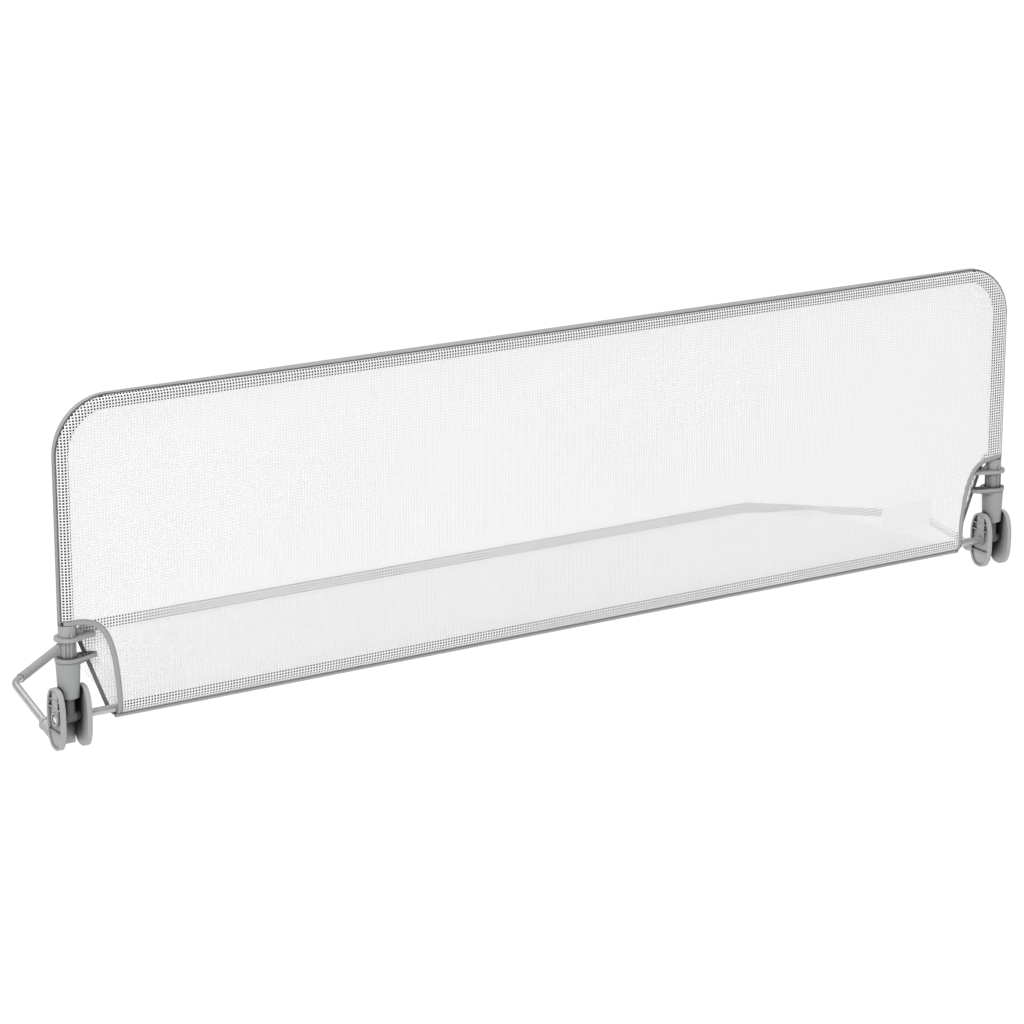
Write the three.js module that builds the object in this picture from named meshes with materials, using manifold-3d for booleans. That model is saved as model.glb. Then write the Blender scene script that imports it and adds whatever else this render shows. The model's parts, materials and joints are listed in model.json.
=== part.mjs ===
// Folding bed guard rail, 1.5 m long: a mesh-covered steel hoop on two hinge brackets,
// with a steel base frame that lies under the mattress.
// Millimetres, +Z up, X along the bed, +Y towards the mattress.
// Every piece is drawn from the fold line: the axis through both hinge bolts.

import * as THREE from 'three';
import { mergeVertices } from 'three/addons/utils/BufferGeometryUtils.js';
import Module from 'manifold-3d';

const wasm = await Module();
wasm.setup();
const { CrossSection, Manifold, Mesh: SolidMesh } = wasm;

// Overall sizes
const overallLength = 1500;
const railHeight = 400;
const baseDepth = 338;
const basePlaneDrop = 3;

// Fits between pieces
const fitGap = 0.3;
const cutOverrun = 2;
const longOverrun = 2 * cutOverrun;

// Hinge bracket
const cheekThickness = 6.6;
const cheekHeight = 79;
const cheekDepth = 41;
const cheekGap = 28.8;
const cheekFloor = 2.4;
const cheekRimWidth = 2.8;
const cheekOvalPower = 2.6;
const columnWidth = 15;
const columnHeight = 5.2;
const cheekRibWidth = 1.5;
const cheekRibHeight = 5.6;
const cheekUpperRibHeights = [24, 14];
const cheekLowerRibDrop = 17;
const crescentFloor = 4.2;
const bossRadius = 8.6;
const boltPocketRadius = 6.1;
const boltSeat = 3.4;
const rodSeatDepth = 3.2;
const rodCollarWidth = 1.8;

// Bracket core: rear web with the socket of the base frame
const webFront = 14.8;
const webInset = 1.1;
const padWidth = 24;
const padHeight = 34;
const padProud = 1.5;
const padRise = 8;
const socketRadius = 8;
const socketMouthY = 58.5;
const socketStopY = 24;
const socketLipRadius = 8.9;
const socketLipLength = 5;

// Pivot bolt and spacers
const boltRadius = 3;
const boltHeadRadius = 5.3;
const boltHeadHeight = 2.6;
const boltReachInRod = 12;
const spacerRadius = 6;

// Socket screw
const screwRadius = 1.5;
const screwHeadRadius = 2.9;
const screwHeadHeight = 1.5;
const screwFromMouth = 19;

// Base frame
const baseTubeRadius = 5;
const baseTubeWall = 1;
const legBendY = 163;
const legBendInset = 2;
const legSlope = 0.195;
const legBendRadius = 26;
const backCornerInset = 192;
const backCornerRadius = 38;
const rodBoreDepth = 20;

// Steel hoop of the rail
const hoopTubeRadius = 9;
const hoopTubeWall = 1.2;
const hoopCornerRadius = 62;

// Cloth
const meshThickness = 0.6;
const meshBandFoot = 50;
const bindingThickness = 1;
const bindingWrap = 55;
const meshTuck = 40;
const tapeThickness = 0.6;
const archTapeWidth = 7;
const cornerTapeWidth = 5;
const tapeFold = 1.4;
const archReach = 65;
const archHeight = 122.2;
const archShoulderShare = 0.6;
const archKneeShare = 0.94;
const backCutTopReach = 9;
const backCutBottomReach = 62;
const backCutBendRadius = 6;
const hemDrop = 12;
const hemTapeHeight = 5;
const hemTapeHalfWidth = 2.4;
const hemTurnHeight = 5;
const labelWidth = 86;
const labelHeight = 35;
const labelInset = 122;
const labelFoot = 42;
const labelThickness = 0.4;
const labelCornerRadius = 3;

// Floor mesh and its sleeves
const floorFrontY = 12.6;
const floorFrontInset = 71;
const floorSideShare = 0.58;
const floorBand = 10;
const floorOpenShare = 0.51;
const floorColumns = 12;
const floorRows = 5;
const sleeveStart = 20;
const sleeveGap = 6;

// Post at each foot of the hoop
const neckRadius = 10.9;
const neckTop = 118;
const plugLength = 60;
const plugTip = 3;
const flangeThickness = 4.2;
const flangeRadius = 16.5;
const flangeTabReach = 38;
const flangeTabRadius = 6;
const flangeSheetGap = 0.7;
const gussetThickness = 2;
const gussetRise = 9;
const gussetReach = 27;
const smallGussetReach = 14.5;
const ribCoreRadius = 9.5;
const ribTipRadius = 11.4;
const ribCount = 8;
const ribWidth = 2.2;
const ribFoot = 60;
const tongueRadius = 7;
const tongueHalfWidth = 6.9;

// Rivet through each post and tube
const rivetRadius = 2;
const rivetHeight = 148;

// Release collar
const collarFoot = 26;
const collarTop = 77;
const collarTravel = 20;
const collarTopGap = 1.8;
const collarFootRadius = 13.4;
const collarShoulderRadius = 15.2;
const collarBoreRadius = 11.8;
const collarLedge = 4;
const collarTabReach = 39;
const collarTabRadius = 6.4;
const collarRimHeight = 4.6;
const collarStepHeight = 4.2;
const collarStepInset = 1.6;
const grooveRadii = [19, 23.2, 27.4, 31.6];
const grooveWidth = 1.9;
const grooveDepth = 3.4;
const grooveMargin = 2;
const grooveHalfArc = 40;

// Collar spring
const springWireRadius = 0.65;
const springMeanRadius = 9.2;
const springTurns = 6;

// Facets
const roundSides = 24;
const smallSides = 12;
const tubeSides = 12;
const boreSides = 8;
const bendSteps = 6;
const cornerSteps = 3;
const springSides = 5;
const springStepsPerTurn = 8;

// Worked out from the sizes above
const hingeX = overallLength / 2 - cheekThickness - cheekGap / 2;
const legBendX = hingeX - legBendInset;
const backCornerX = legBendX - backCornerInset;
const floorFrontHalf = hingeX - floorFrontInset;
const labelRight = hingeX - labelInset;
const plugRadius = hoopTubeRadius - hoopTubeWall - 2 * fitGap;
const sheetInner = hoopTubeRadius + fitGap;
const sheetOuter = sheetInner + meshThickness;
const flangeRearTrim = sheetInner - flangeSheetGap;
const flangeUnderside = collarTop + collarTravel + collarTopGap;
const hoopFoot = neckTop + fitGap;
const bindingInner = sheetOuter + fitGap;
const bindingOuter = bindingInner + bindingThickness;
const hoopTop = railHeight - bindingOuter;
const hoopBottomCut = -hemDrop - cutOverrun;
const farOut = hingeX + bindingOuter + cutOverrun;
const sleeveInner = baseTubeRadius + fitGap;
const sleeveOuter = sleeveInner + meshThickness;
const socketX = cheekGap / 2 - fitGap - socketRadius;

const paint = {
  plastic: { color: 0xa8a9ab, roughness: 0.55, metalness: 0 },
  darkPlastic: { color: 0x8f9092, roughness: 0.6, metalness: 0 },
  steel: { color: 0xc4c6c8, roughness: 0.3, metalness: 0.8 },
  zinc: { color: 0xd6d8da, roughness: 0.25, metalness: 0.9 },
  tape: { color: 0x9fa0a2, roughness: 0.85, metalness: 0 },
  mesh: { color: 0xf4f4f2, roughness: 0.8, metalness: 0 },
  label: { color: 0xf6f6f4, roughness: 0.7, metalness: 0 },
};

// Solids from three.js geometry, for joining and cutting

function signedVolume(positions, indices) {
  const a = new THREE.Vector3();
  const b = new THREE.Vector3();
  const c = new THREE.Vector3();
  let sum = 0;
  for (let i = 0; i < indices.length; i += 3) {
    a.fromArray(positions, indices[i] * 3);
    b.fromArray(positions, indices[i + 1] * 3);
    c.fromArray(positions, indices[i + 2] * 3);
    sum += a.dot(b.cross(c));
  }
  return sum;
}

function solid(geometry) {
  const bare = geometry.clone();
  bare.deleteAttribute('normal');
  bare.deleteAttribute('uv');
  const merged = mergeVertices(bare);
  const positions = Float32Array.from(merged.attributes.position.array);
  const indices = Uint32Array.from(merged.index.array);
  if (signedVolume(positions, indices) < 0) indices.reverse();
  return new Manifold(new SolidMesh({ numProp: 3, vertProperties: positions, triVerts: indices }));
}

function geometryOf(body) {
  const mesh = body.getMesh();
  const geometry = new THREE.BufferGeometry();
  geometry.setAttribute('position', new THREE.BufferAttribute(Float32Array.from(mesh.vertProperties), 3));
  geometry.setIndex(new THREE.BufferAttribute(Uint32Array.from(mesh.triVerts), 1));
  geometry.computeVertexNormals();
  return geometry;
}

function joined(...bodies) {
  return bodies.reduce((sum, body) => sum.add(body));
}

function cut(body, ...tools) {
  return tools.reduce((rest, tool) => rest.subtract(tool), body);
}

// Shapes drawn in a plane and given a depth

function outline(points, holes = []) {
  const shape = new THREE.Shape(points.map(([x, y]) => new THREE.Vector2(x, y)));
  shape.holes = holes.map((hole) => new THREE.Path(hole.map(([x, y]) => new THREE.Vector2(x, y))));
  return shape;
}

function extruded(shape, depth) {
  return new THREE.ExtrudeGeometry(shape, { depth, bevelEnabled: false, steps: 1 });
}

// Drawn in X and Y, from one height to another
function flatSlab(points, from, to, holes) {
  return solid(extruded(outline(points, holes), to - from).translate(0, 0, from));
}

// Drawn in X and Z, from one Y to another
function uprightSlab(points, from, to, holes) {
  return solid(extruded(outline(points, holes), to - from).rotateX(Math.PI / 2).translate(0, to, 0));
}

// Drawn in Y and Z, from one X to another
function sideSlab(points, from, to, holes) {
  const turn = new THREE.Matrix4().makeBasis(
    new THREE.Vector3(0, 1, 0),
    new THREE.Vector3(0, 0, 1),
    new THREE.Vector3(1, 0, 0),
  );
  return solid(extruded(outline(points, holes), to - from).applyMatrix4(turn).translate(from, 0, 0));
}

function rectangle(left, right, bottom, top) {
  return [[left, bottom], [right, bottom], [right, top], [left, top]];
}

function arc(cx, cy, radius, fromDegrees, toDegrees, steps) {
  const points = [];
  for (let i = 0; i <= steps; i += 1) {
    const angle = THREE.MathUtils.degToRad(fromDegrees + ((toDegrees - fromDegrees) * i) / steps);
    points.push([cx + radius * Math.cos(angle), cy + radius * Math.sin(angle)]);
  }
  return points;
}

function circle(cx, cy, radius, sides) {
  return arc(cx, cy, radius, 0, 360, sides).slice(0, -1);
}

// Bars and rings along one axis

function barZ(radius, from, to, sides) {
  const bar = new THREE.CylinderGeometry(radius, radius, to - from, sides);
  return solid(bar.rotateX(Math.PI / 2).translate(0, 0, (from + to) / 2));
}

function barX(radius, from, to, sides) {
  const bar = new THREE.CylinderGeometry(radius, radius, to - from, sides);
  return solid(bar.rotateZ(Math.PI / 2).translate((from + to) / 2, 0, 0));
}

function barY(radius, from, to, sides) {
  const bar = new THREE.CylinderGeometry(radius, radius, to - from, sides);
  return solid(bar.translate(0, (from + to) / 2, 0));
}

function turnedZ(profile, sides) {
  const points = profile.map(([r, z]) => new THREE.Vector2(r, z));
  return solid(new THREE.LatheGeometry(points, sides).rotateX(Math.PI / 2));
}

// A route of straight runs and round bends, with a station only where it turns
class Route extends THREE.Curve {
  constructor(corners) {
    super();
    this.stations = [];
    corners.forEach((corner, i) => {
      const before = corners[i - 1];
      const after = corners[i + 1];
      if (!before) this.addStation(corner.at, after.at.clone().sub(corner.at));
      else if (!after) this.addStation(corner.at, corner.at.clone().sub(before.at));
      else this.addBend(before.at, corner, after.at);
    });
  }

  addStation(point, direction) {
    this.stations.push({ point: point.clone(), direction: direction.clone().normalize() });
  }

  addBend(before, corner, after) {
    const inward = corner.at.clone().sub(before).normalize();
    const outward = after.clone().sub(corner.at).normalize();
    const turn = inward.angleTo(outward);
    const setback = corner.radius * Math.tan(turn / 2);
    const start = corner.at.clone().addScaledVector(inward, -setback);
    const side = outward.clone().addScaledVector(inward, -outward.dot(inward)).normalize();
    const centre = start.clone().addScaledVector(side, corner.radius);
    for (let i = 0; i <= bendSteps; i += 1) {
      const angle = (turn * i) / bendSteps;
      const point = centre.clone()
        .addScaledVector(inward, corner.radius * Math.sin(angle))
        .addScaledVector(side, -corner.radius * Math.cos(angle));
      const direction = inward.clone().multiplyScalar(Math.cos(angle)).addScaledVector(side, Math.sin(angle));
      this.addStation(point, direction);
    }
  }

  get steps() {
    return this.stations.length - 1;
  }

  station(u) {
    return this.stations[Math.round(u * this.steps)];
  }

  getPointAt(u, target = new THREE.Vector3()) {
    return target.copy(this.station(u).point);
  }

  getTangentAt(u, target = new THREE.Vector3()) {
    return target.copy(this.station(u).direction);
  }
}

function swept(route, points, holes) {
  const options = { steps: route.steps, extrudePath: route, bevelEnabled: false };
  return solid(new THREE.ExtrudeGeometry(outline(points, holes), options));
}

function tubeOn(route, radius, wall, innerSides) {
  return swept(route, circle(0, 0, radius, tubeSides), [circle(0, 0, radius - wall, innerSides)]);
}

function at(x, y, z, radius = 0) {
  return { at: new THREE.Vector3(x, y, z), radius };
}

// Moves an open line sideways, for tapes and strips of one width
function shifted(line, distance) {
  return line.map(([x, y], i) => {
    const before = line[Math.max(i - 1, 0)];
    const after = line[Math.min(i + 1, line.length - 1)];
    const length = Math.hypot(after[0] - before[0], after[1] - before[1]);
    const normal = [-(after[1] - before[1]) / length, (after[0] - before[0]) / length];
    return [x + normal[0] * distance, y + normal[1] * distance];
  });
}

function strip(line, left, right) {
  return [...shifted(line, left), ...shifted(line, right).reverse()];
}

function mirroredX(body) {
  return solid(geometryOf(body).scale(-1, 1, 1));
}

function mirroredY(body) {
  return solid(geometryOf(body).scale(1, -1, 1));
}

function movedX(body, distance) {
  return solid(geometryOf(body).translate(distance, 0, 0));
}

// Hinge bracket. Drawn for the right-hand side, with X = 0 on the post and +X outwards.

function cheekOutline(inset = 0) {
  const halfDepth = cheekDepth / 2 - inset;
  const halfHeight = cheekHeight / 2 - inset;
  const sides = roundSides + smallSides;
  const power = 2 / cheekOvalPower;
  const points = [];
  for (let i = 0; i < sides; i += 1) {
    const angle = (2 * Math.PI * i) / sides;
    const c = Math.cos(angle);
    const s = Math.sin(angle);
    points.push([
      halfDepth * Math.sign(c) * Math.abs(c) ** power,
      halfHeight * Math.sign(s) * Math.abs(s) ** power,
    ]);
  }
  return points;
}

// The ribbed face of a cheek looks along +X and its plain face lies at X = 0
function cheekPlate() {
  const halfDepth = cheekDepth / 2;
  const halfHeight = cheekHeight / 2;
  const halfColumn = columnWidth / 2;
  const halfRib = cheekRibWidth / 2;
  const column = [
    ...arc(0, 0, halfColumn, 180, 360, smallSides),
    [halfColumn, halfHeight],
    [-halfColumn, halfHeight],
  ];
  const crescent = rectangle(-halfDepth, halfDepth, -halfHeight, -cheekLowerRibDrop);
  const ribs = cheekUpperRibHeights.map((height) => (
    sideSlab(rectangle(-halfDepth, halfDepth, height - halfRib, height + halfRib), 0, cheekRibHeight)
  ));
  const lowerRib = rectangle(
    -halfDepth,
    halfDepth,
    -cheekLowerRibDrop - halfRib,
    -cheekLowerRibDrop + halfRib,
  );
  const body = joined(
    sideSlab(cheekOutline(), 0, cheekFloor),
    sideSlab(cheekOutline(), 0, cheekThickness, [cheekOutline(cheekRimWidth)]),
    sideSlab(column, 0, columnHeight),
    sideSlab(crescent, 0, crescentFloor),
    sideSlab(lowerRib, 0, cheekRibHeight),
    ...ribs,
  );
  return body.intersect(sideSlab(cheekOutline(), 0, cheekThickness));
}

function outerCheek() {
  const boss = barX(bossRadius, 0, cheekThickness, roundSides);
  const pocket = barX(boltPocketRadius, boltSeat, cheekThickness + cutOverrun, roundSides);
  const hole = barX(boltRadius + fitGap, -cutOverrun, cheekThickness, smallSides);
  return movedX(cut(joined(cheekPlate(), boss), pocket, hole), cheekGap / 2);
}

function innerCheek() {
  const seatRadius = baseTubeRadius + fitGap;
  const collar = barX(seatRadius + rodCollarWidth, 0, cheekThickness, roundSides);
  const seat = barX(seatRadius, cheekThickness - rodSeatDepth, cheekThickness + cutOverrun, roundSides);
  const hole = barX(boltRadius + fitGap, -cutOverrun, cheekThickness, smallSides);
  return movedX(mirroredX(cut(joined(cheekPlate(), collar), seat, hole)), -cheekGap / 2);
}

// The leg of the base frame, from the bend down to the socket, beside the post
function legPoint(y) {
  const bendX = legBendX - hingeX;
  const share = (legBendY - y) / (legBendY - socketMouthY);
  const x = THREE.MathUtils.lerp(bendX, socketX, share);
  return new THREE.Vector3(x, y, -basePlaneDrop - legSlope * (legBendY - y));
}

function bracketCore() {
  const halfGap = cheekGap / 2 - fitGap;
  const halfHeight = cheekHeight / 2;
  const rear = rectangle(webFront, cheekDepth, -halfHeight, halfHeight);
  const web = sideSlab(cheekOutline(webInset), -halfGap, halfGap)
    .intersect(sideSlab(rear, -halfGap, halfGap));
  const skirtFoot = legPoint(webFront).z - socketRadius;
  const skirtRear = cheekDepth / 2 - webInset;
  const skirt = sideSlab(rectangle(webFront, skirtRear, skirtFoot, 0), -halfGap, halfGap);
  const padBase = (webFront + cheekDepth / 2) / 2;
  const padFace = cheekDepth / 2 + padProud - webInset;
  const pad = sideSlab(
    rectangle(padBase, padFace, padRise - padHeight / 2, padRise + padHeight / 2),
    -padWidth / 2,
    padWidth / 2,
  );
  const start = legPoint(webFront - socketRadius);
  const mouth = legPoint(socketMouthY);
  const lipStart = legPoint(socketMouthY - socketLipLength);
  const barrel = swept(new Route([{ at: start }, { at: mouth }]), circle(0, 0, socketRadius, roundSides));
  const lip = swept(new Route([{ at: lipStart }, { at: mouth }]), circle(0, 0, socketLipRadius, roundSides));
  const stop = legPoint(socketStopY);
  const pastMouth = legPoint(socketMouthY + cutOverrun);
  const bore = swept(
    new Route([{ at: stop }, { at: pastMouth }]),
    circle(0, 0, baseTubeRadius + fitGap, tubeSides),
  );
  const front = sideSlab(rectangle(-cheekDepth, webFront, -cheekHeight, cheekHeight), -hingeX, hingeX);
  const room = sideSlab(rectangle(0, legBendY, -cheekHeight, cheekHeight), -halfGap, halfGap);
  const socket = cut(joined(barrel, lip).intersect(room), front);
  return cut(joined(web, skirt, pad, socket), bore, socketScrewHole());
}

function screwPlace() {
  return legPoint(socketMouthY - screwFromMouth);
}

function socketScrewHole() {
  const place = screwPlace();
  const hole = barX(screwRadius + fitGap, -socketRadius - cutOverrun, 0, boreSides);
  return solid(geometryOf(hole).translate(place.x, place.y, place.z));
}

function socketScrew() {
  const place = screwPlace();
  const shank = barX(screwRadius, -socketRadius - screwHeadHeight, -baseTubeRadius - fitGap, boreSides);
  const seat = -socketRadius - fitGap;
  const head = barX(screwHeadRadius, seat - screwHeadHeight, seat, smallSides);
  return solid(geometryOf(joined(shank, head)).translate(place.x, place.y, place.z));
}

function pivotBolt() {
  const seat = cheekGap / 2 + boltSeat + fitGap;
  const tip = -cheekGap / 2 - cheekThickness - boltReachInRod;
  const crown = boltHeadHeight / 2;
  const head = turnedZ([
    [0, 0],
    [boltHeadRadius, 0],
    [boltHeadRadius, crown],
    [boltHeadRadius - crown / 2, boltHeadHeight - crown / 4],
    [boltHeadRadius / 2, boltHeadHeight],
    [0, boltHeadHeight],
  ], roundSides);
  const turned = solid(geometryOf(head).rotateY(Math.PI / 2).translate(seat, 0, 0));
  return joined(turned, barX(boltRadius, tip, seat + crown, smallSides));
}

function pivotSpacer() {
  const ring = barX(spacerRadius, tongueHalfWidth + fitGap, cheekGap / 2 - fitGap, smallSides);
  return cut(ring, barX(boltRadius + fitGap, 0, cheekGap, smallSides));
}

// Base frame: one bent tube from socket to socket, and the front rod between the brackets

function baseRoute() {
  const legEnd = legPoint(socketStopY + fitGap);
  const z = -basePlaneDrop;
  return new Route([
    at(-hingeX - legEnd.x, legEnd.y, legEnd.z),
    at(-legBendX, legBendY, z, legBendRadius),
    at(-backCornerX, baseDepth, z, backCornerRadius),
    at(backCornerX, baseDepth, z, backCornerRadius),
    at(legBendX, legBendY, z, legBendRadius),
    at(hingeX + legEnd.x, legEnd.y, legEnd.z),
  ]);
}

function frontRod() {
  const end = hingeX - cheekGap / 2 - cheekThickness + rodSeatDepth - fitGap;
  const rod = barX(baseTubeRadius, -end, end, tubeSides);
  const bore = barX(boltRadius + fitGap, end - rodBoreDepth, end + cutOverrun, smallSides);
  return cut(rod, bore, mirroredX(bore));
}

// Steel hoop

function hoopRoute(foot) {
  return new Route([
    at(-hingeX, 0, foot),
    at(-hingeX, 0, hoopTop, hoopCornerRadius),
    at(hingeX, 0, hoopTop, hoopCornerRadius),
    at(hingeX, 0, foot),
  ]);
}

function hoopTube() {
  const tube = tubeOn(hoopRoute(hoopFoot), hoopTubeRadius, hoopTubeWall, tubeSides);
  const reach = hoopTubeRadius + cutOverrun;
  const hole = barY(rivetRadius + fitGap, -reach, reach, smallSides);
  const right = solid(geometryOf(hole).translate(hingeX, 0, rivetHeight));
  const left = solid(geometryOf(hole).translate(-hingeX, 0, rivetHeight));
  return cut(tube, right, left);
}

// Mesh cover. The front wall is drawn at -Y and the rear wall is its mirror image.
// In the section of the hoop, the first value is forward and the second towards the middle.

function wrapSection(inner, outer, fromDegrees, toDegrees, reach) {
  const line = (radius) => [
    ...arc(0, 0, radius, fromDegrees, toDegrees, smallSides / 2).map(([o, f]) => [f, -o]),
    ...(reach ? [[radius, reach]] : []),
  ];
  return [...line(outer), ...line(inner).reverse()];
}

function wallOutline(drop) {
  const edge = hingeX - drop;
  const top = hoopTop - drop;
  const radius = hoopCornerRadius - drop;
  return [
    [-edge, hemTurnHeight],
    [edge, hemTurnHeight],
    ...arc(edge - radius, top - radius, radius, 0, 90, bendSteps),
    ...arc(radius - edge, top - radius, radius, 90, 180, bendSteps),
  ];
}

// The lower edge turns in under the front rod to the hem tape
function hemSection(inner, outer) {
  const hemLine = sheetInner + meshThickness / 2;
  const hemGap = hemTapeHalfWidth / 2;
  const tail = -hemDrop + hemTapeHeight + fitGap + meshThickness / 2;
  const line = [[-hemLine, hemTurnHeight + cutOverrun], [-hemLine, hemTurnHeight]];
  for (let i = 1; i <= smallSides / 2; i += 1) {
    const angle = (Math.PI * i) / smallSides;
    line.push([
      -hemGap - (hemLine - hemGap) * Math.cos(angle),
      hemTurnHeight - (hemTurnHeight - tail) * Math.sin(angle),
    ]);
  }
  line.push([-hemGap, -hemDrop + bindingThickness + fitGap]);
  return strip(line, hemLine - inner, hemLine - outer);
}

// One wall of the cover, between two distances from the middle of the hoop's tube
function coverWall(inner, outer, tuck = meshTuck) {
  const band = swept(hoopRoute(meshBandFoot), wrapSection(inner, outer, tuck, 90, longOverrun));
  const field = uprightSlab(wallOutline(cutOverrun), -outer, -inner);
  const hem = sideSlab(hemSection(inner, outer), -hingeX, hingeX);
  return joined(band, field, hem);
}

function archLine() {
  const side = hingeX - archReach;
  const curve = new THREE.CubicBezierCurve(
    new THREE.Vector2(farOut, archHeight),
    new THREE.Vector2(hingeX - archReach * archShoulderShare, archHeight),
    new THREE.Vector2(hingeX - archReach * archKneeShare, archHeight),
    new THREE.Vector2(side, 0),
  );
  const points = curve.getPoints(roundSides / 2).map((p) => [p.x, p.y]);
  return [...points, [side, hoopBottomCut]];
}

function backCutLine() {
  const top = archHeight;
  const route = new Route([
    at(farOut, top, 0),
    at(hingeX - backCutTopReach, top, 0, backCutBendRadius),
    at(hingeX - backCutBottomReach, hoopBottomCut, 0),
  ]);
  return route.stations.map(({ point }) => [point.x, point.y]);
}

// What lies outside a cut line, towards the bracket
function outsideOf(line, distance, depth) {
  const edge = shifted(line, distance);
  const last = edge[edge.length - 1];
  return uprightSlab([...edge, [farOut + cutOverrun, last[1]], [farOut + cutOverrun, edge[0][1]]], -depth, 0);
}

function coverPanel(line, width) {
  const depth = sheetOuter + cutOverrun;
  const corner = outsideOf(line, width / 2 - tapeFold, depth);
  return cut(coverWall(sheetInner, sheetOuter), corner, mirroredX(corner));
}

// A tape folded over the cut edge of a wall
function edgeTape(line, width) {
  const outer = sheetOuter + fitGap + tapeThickness;
  const depth = outer + cutOverrun;
  const band = uprightSlab(strip(line, width / 2, -width / 2), -depth, 0);
  const body = coverWall(sheetInner, outer, bindingWrap + fitGap).intersect(band);
  const grown = coverWall(sheetInner - fitGap, sheetOuter + fitGap, 0);
  const beyond = outsideOf(line, width / 2 - tapeFold + fitGap, depth);
  const hemTop = -hemDrop + hemTapeHeight + fitGap;
  const clearOfHem = uprightSlab(rectangle(0, farOut, hoopBottomCut, hemTop), -depth, 0);
  return cut(body, cut(grown, beyond), clearOfHem);
}

function hoopBinding() {
  const section = [
    ...arc(0, 0, bindingOuter, -bindingWrap, bindingWrap, smallSides / 2),
    ...arc(0, 0, bindingInner, bindingWrap, -bindingWrap, smallSides / 2),
  ].map(([o, f]) => [f, -o]);
  return swept(hoopRoute(archHeight - archTapeWidth / 2), section);
}

function hemTape() {
  const half = hingeX - archReach + archTapeWidth / 2;
  const slot = hemTapeHalfWidth - tapeThickness;
  const section = [
    [-hemTapeHalfWidth, -hemDrop + hemTapeHeight],
    [-hemTapeHalfWidth, -hemDrop],
    [hemTapeHalfWidth, -hemDrop],
    [hemTapeHalfWidth, -hemDrop + hemTapeHeight],
    [slot, -hemDrop + hemTapeHeight],
    [slot, -hemDrop + bindingThickness],
    [-slot, -hemDrop + bindingThickness],
    [-slot, -hemDrop + hemTapeHeight],
  ];
  return sideSlab(section, -half, half);
}

function labelPatch() {
  const left = labelRight - labelWidth;
  const top = labelFoot + labelHeight;
  const r = labelCornerRadius;
  const corners = [
    ...arc(labelRight - r, labelFoot + r, r, -90, 0, cornerSteps),
    ...arc(labelRight - r, top - r, r, 0, 90, cornerSteps),
    ...arc(left + r, top - r, r, 90, 180, cornerSteps),
    ...arc(left + r, labelFoot + r, r, 180, 270, cornerSteps),
  ];
  const back = -sheetOuter - fitGap;
  return uprightSlab(corners, back - labelThickness, back);
}

// Floor mesh: a sheet inside the base frame with a sleeve round the rear tube

function sideRun() {
  return Math.hypot(legBendX - backCornerX, baseDepth - legBendY);
}

function sidePoint(share) {
  const from = new THREE.Vector2(legBendX, legBendY);
  return from.lerp(new THREE.Vector2(backCornerX, baseDepth), share);
}

function floorMesh() {
  const z = -basePlaneDrop;
  const meet = sidePoint(floorSideShare);
  const route = new Route([
    at(-meet.x, meet.y, z),
    at(-backCornerX, baseDepth, z, backCornerRadius),
    at(backCornerX, baseDepth, z, backCornerRadius),
    at(meet.x, meet.y, z),
  ]);
  const inside = circle(0, 0, sleeveInner, tubeSides);
  const sleeve = swept(route, circle(0, 0, sleeveOuter, tubeSides));
  const bore = swept(route, inside);
  const seam = sidePoint(floorSideShare + (2 * sleeveGap) / sideRun());
  const edge = route.stations.slice(1, -1).map(({ point }) => [point.x, point.y]).reverse();
  const field = [
    [-floorFrontHalf, floorFrontY],
    [floorFrontHalf, floorFrontY],
    [seam.x, seam.y],
    ...edge,
    [-seam.x, seam.y],
  ];
  const sheet = cut(
    flatSlab(field, z - meshThickness / 2, z + meshThickness / 2),
    floorOpenings(field, z),
  );
  const longer = new Route([
    at(-legBendX, legBendY, z),
    at(-backCornerX, baseDepth, z, backCornerRadius),
    at(backCornerX, baseDepth, z, backCornerRadius),
    at(legBendX, legBendY, z),
  ]);
  return cut(joined(sleeve, sheet), swept(longer, inside), bore);
}

// A plain grid of openings stands for the open weave of the floor
function floorOpenings(field, z) {
  const width = (2 * floorFrontHalf) / floorColumns;
  const depth = (baseDepth - floorFrontY) / floorRows;
  const halfWidth = (width * floorOpenShare) / 2;
  const halfDepth = (depth * floorOpenShare) / 2;
  const cells = [];
  for (let i = 0; i < floorColumns; i += 1) {
    for (let k = 0; k < floorRows; k += 1) {
      const x = (i + 1 / 2) * width - floorFrontHalf;
      const y = (k + 1 / 2) * depth + floorFrontY;
      cells.push(rectangle(x - halfWidth, x + halfWidth, y - halfDepth, y + halfDepth));
    }
  }
  const clear = new CrossSection([field]).offset(-sleeveOuter - floorBand, 'Miter');
  const open = clear.intersect(new CrossSection(cells));
  return open.extrude(meshThickness + longOverrun).translate([0, 0, z - meshThickness / 2 - cutOverrun]);
}

function sideSleeve() {
  const z = -basePlaneDrop;
  const start = sidePoint(sleeveStart / sideRun());
  const end = sidePoint(floorSideShare - sleeveGap / sideRun());
  const route = new Route([at(start.x, start.y, z), at(end.x, end.y, z)]);
  return swept(route, circle(0, 0, sleeveOuter, tubeSides), [circle(0, 0, sleeveInner, tubeSides)]);
}

// Post: plug in the hoop, neck, upper flange, ribbed guide and tongue with the hinge eye

// A disc on the post that runs out to a finger tab towards the middle of the rail
function tabOutline(radius, reach, tipRadius, inset = 0) {
  const disc = radius - inset;
  const tip = tipRadius - inset;
  const spread = reach - tipRadius;
  const lean = THREE.MathUtils.radToDeg(Math.asin((disc - tip) / spread));
  return [
    ...arc(0, 0, disc, -90 - lean, 90 + lean, roundSides / 2),
    ...arc(-spread, 0, tip, 90 + lean, 270 - lean, smallSides / 2),
  ];
}

function tabRearTrim(from, to) {
  const rear = rectangle(
    -flangeTabReach - longOverrun,
    -ribTipRadius,
    flangeRearTrim,
    flangeRadius + cutOverrun,
  );
  return flatSlab(rear, from - cutOverrun, to + cutOverrun);
}

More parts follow.
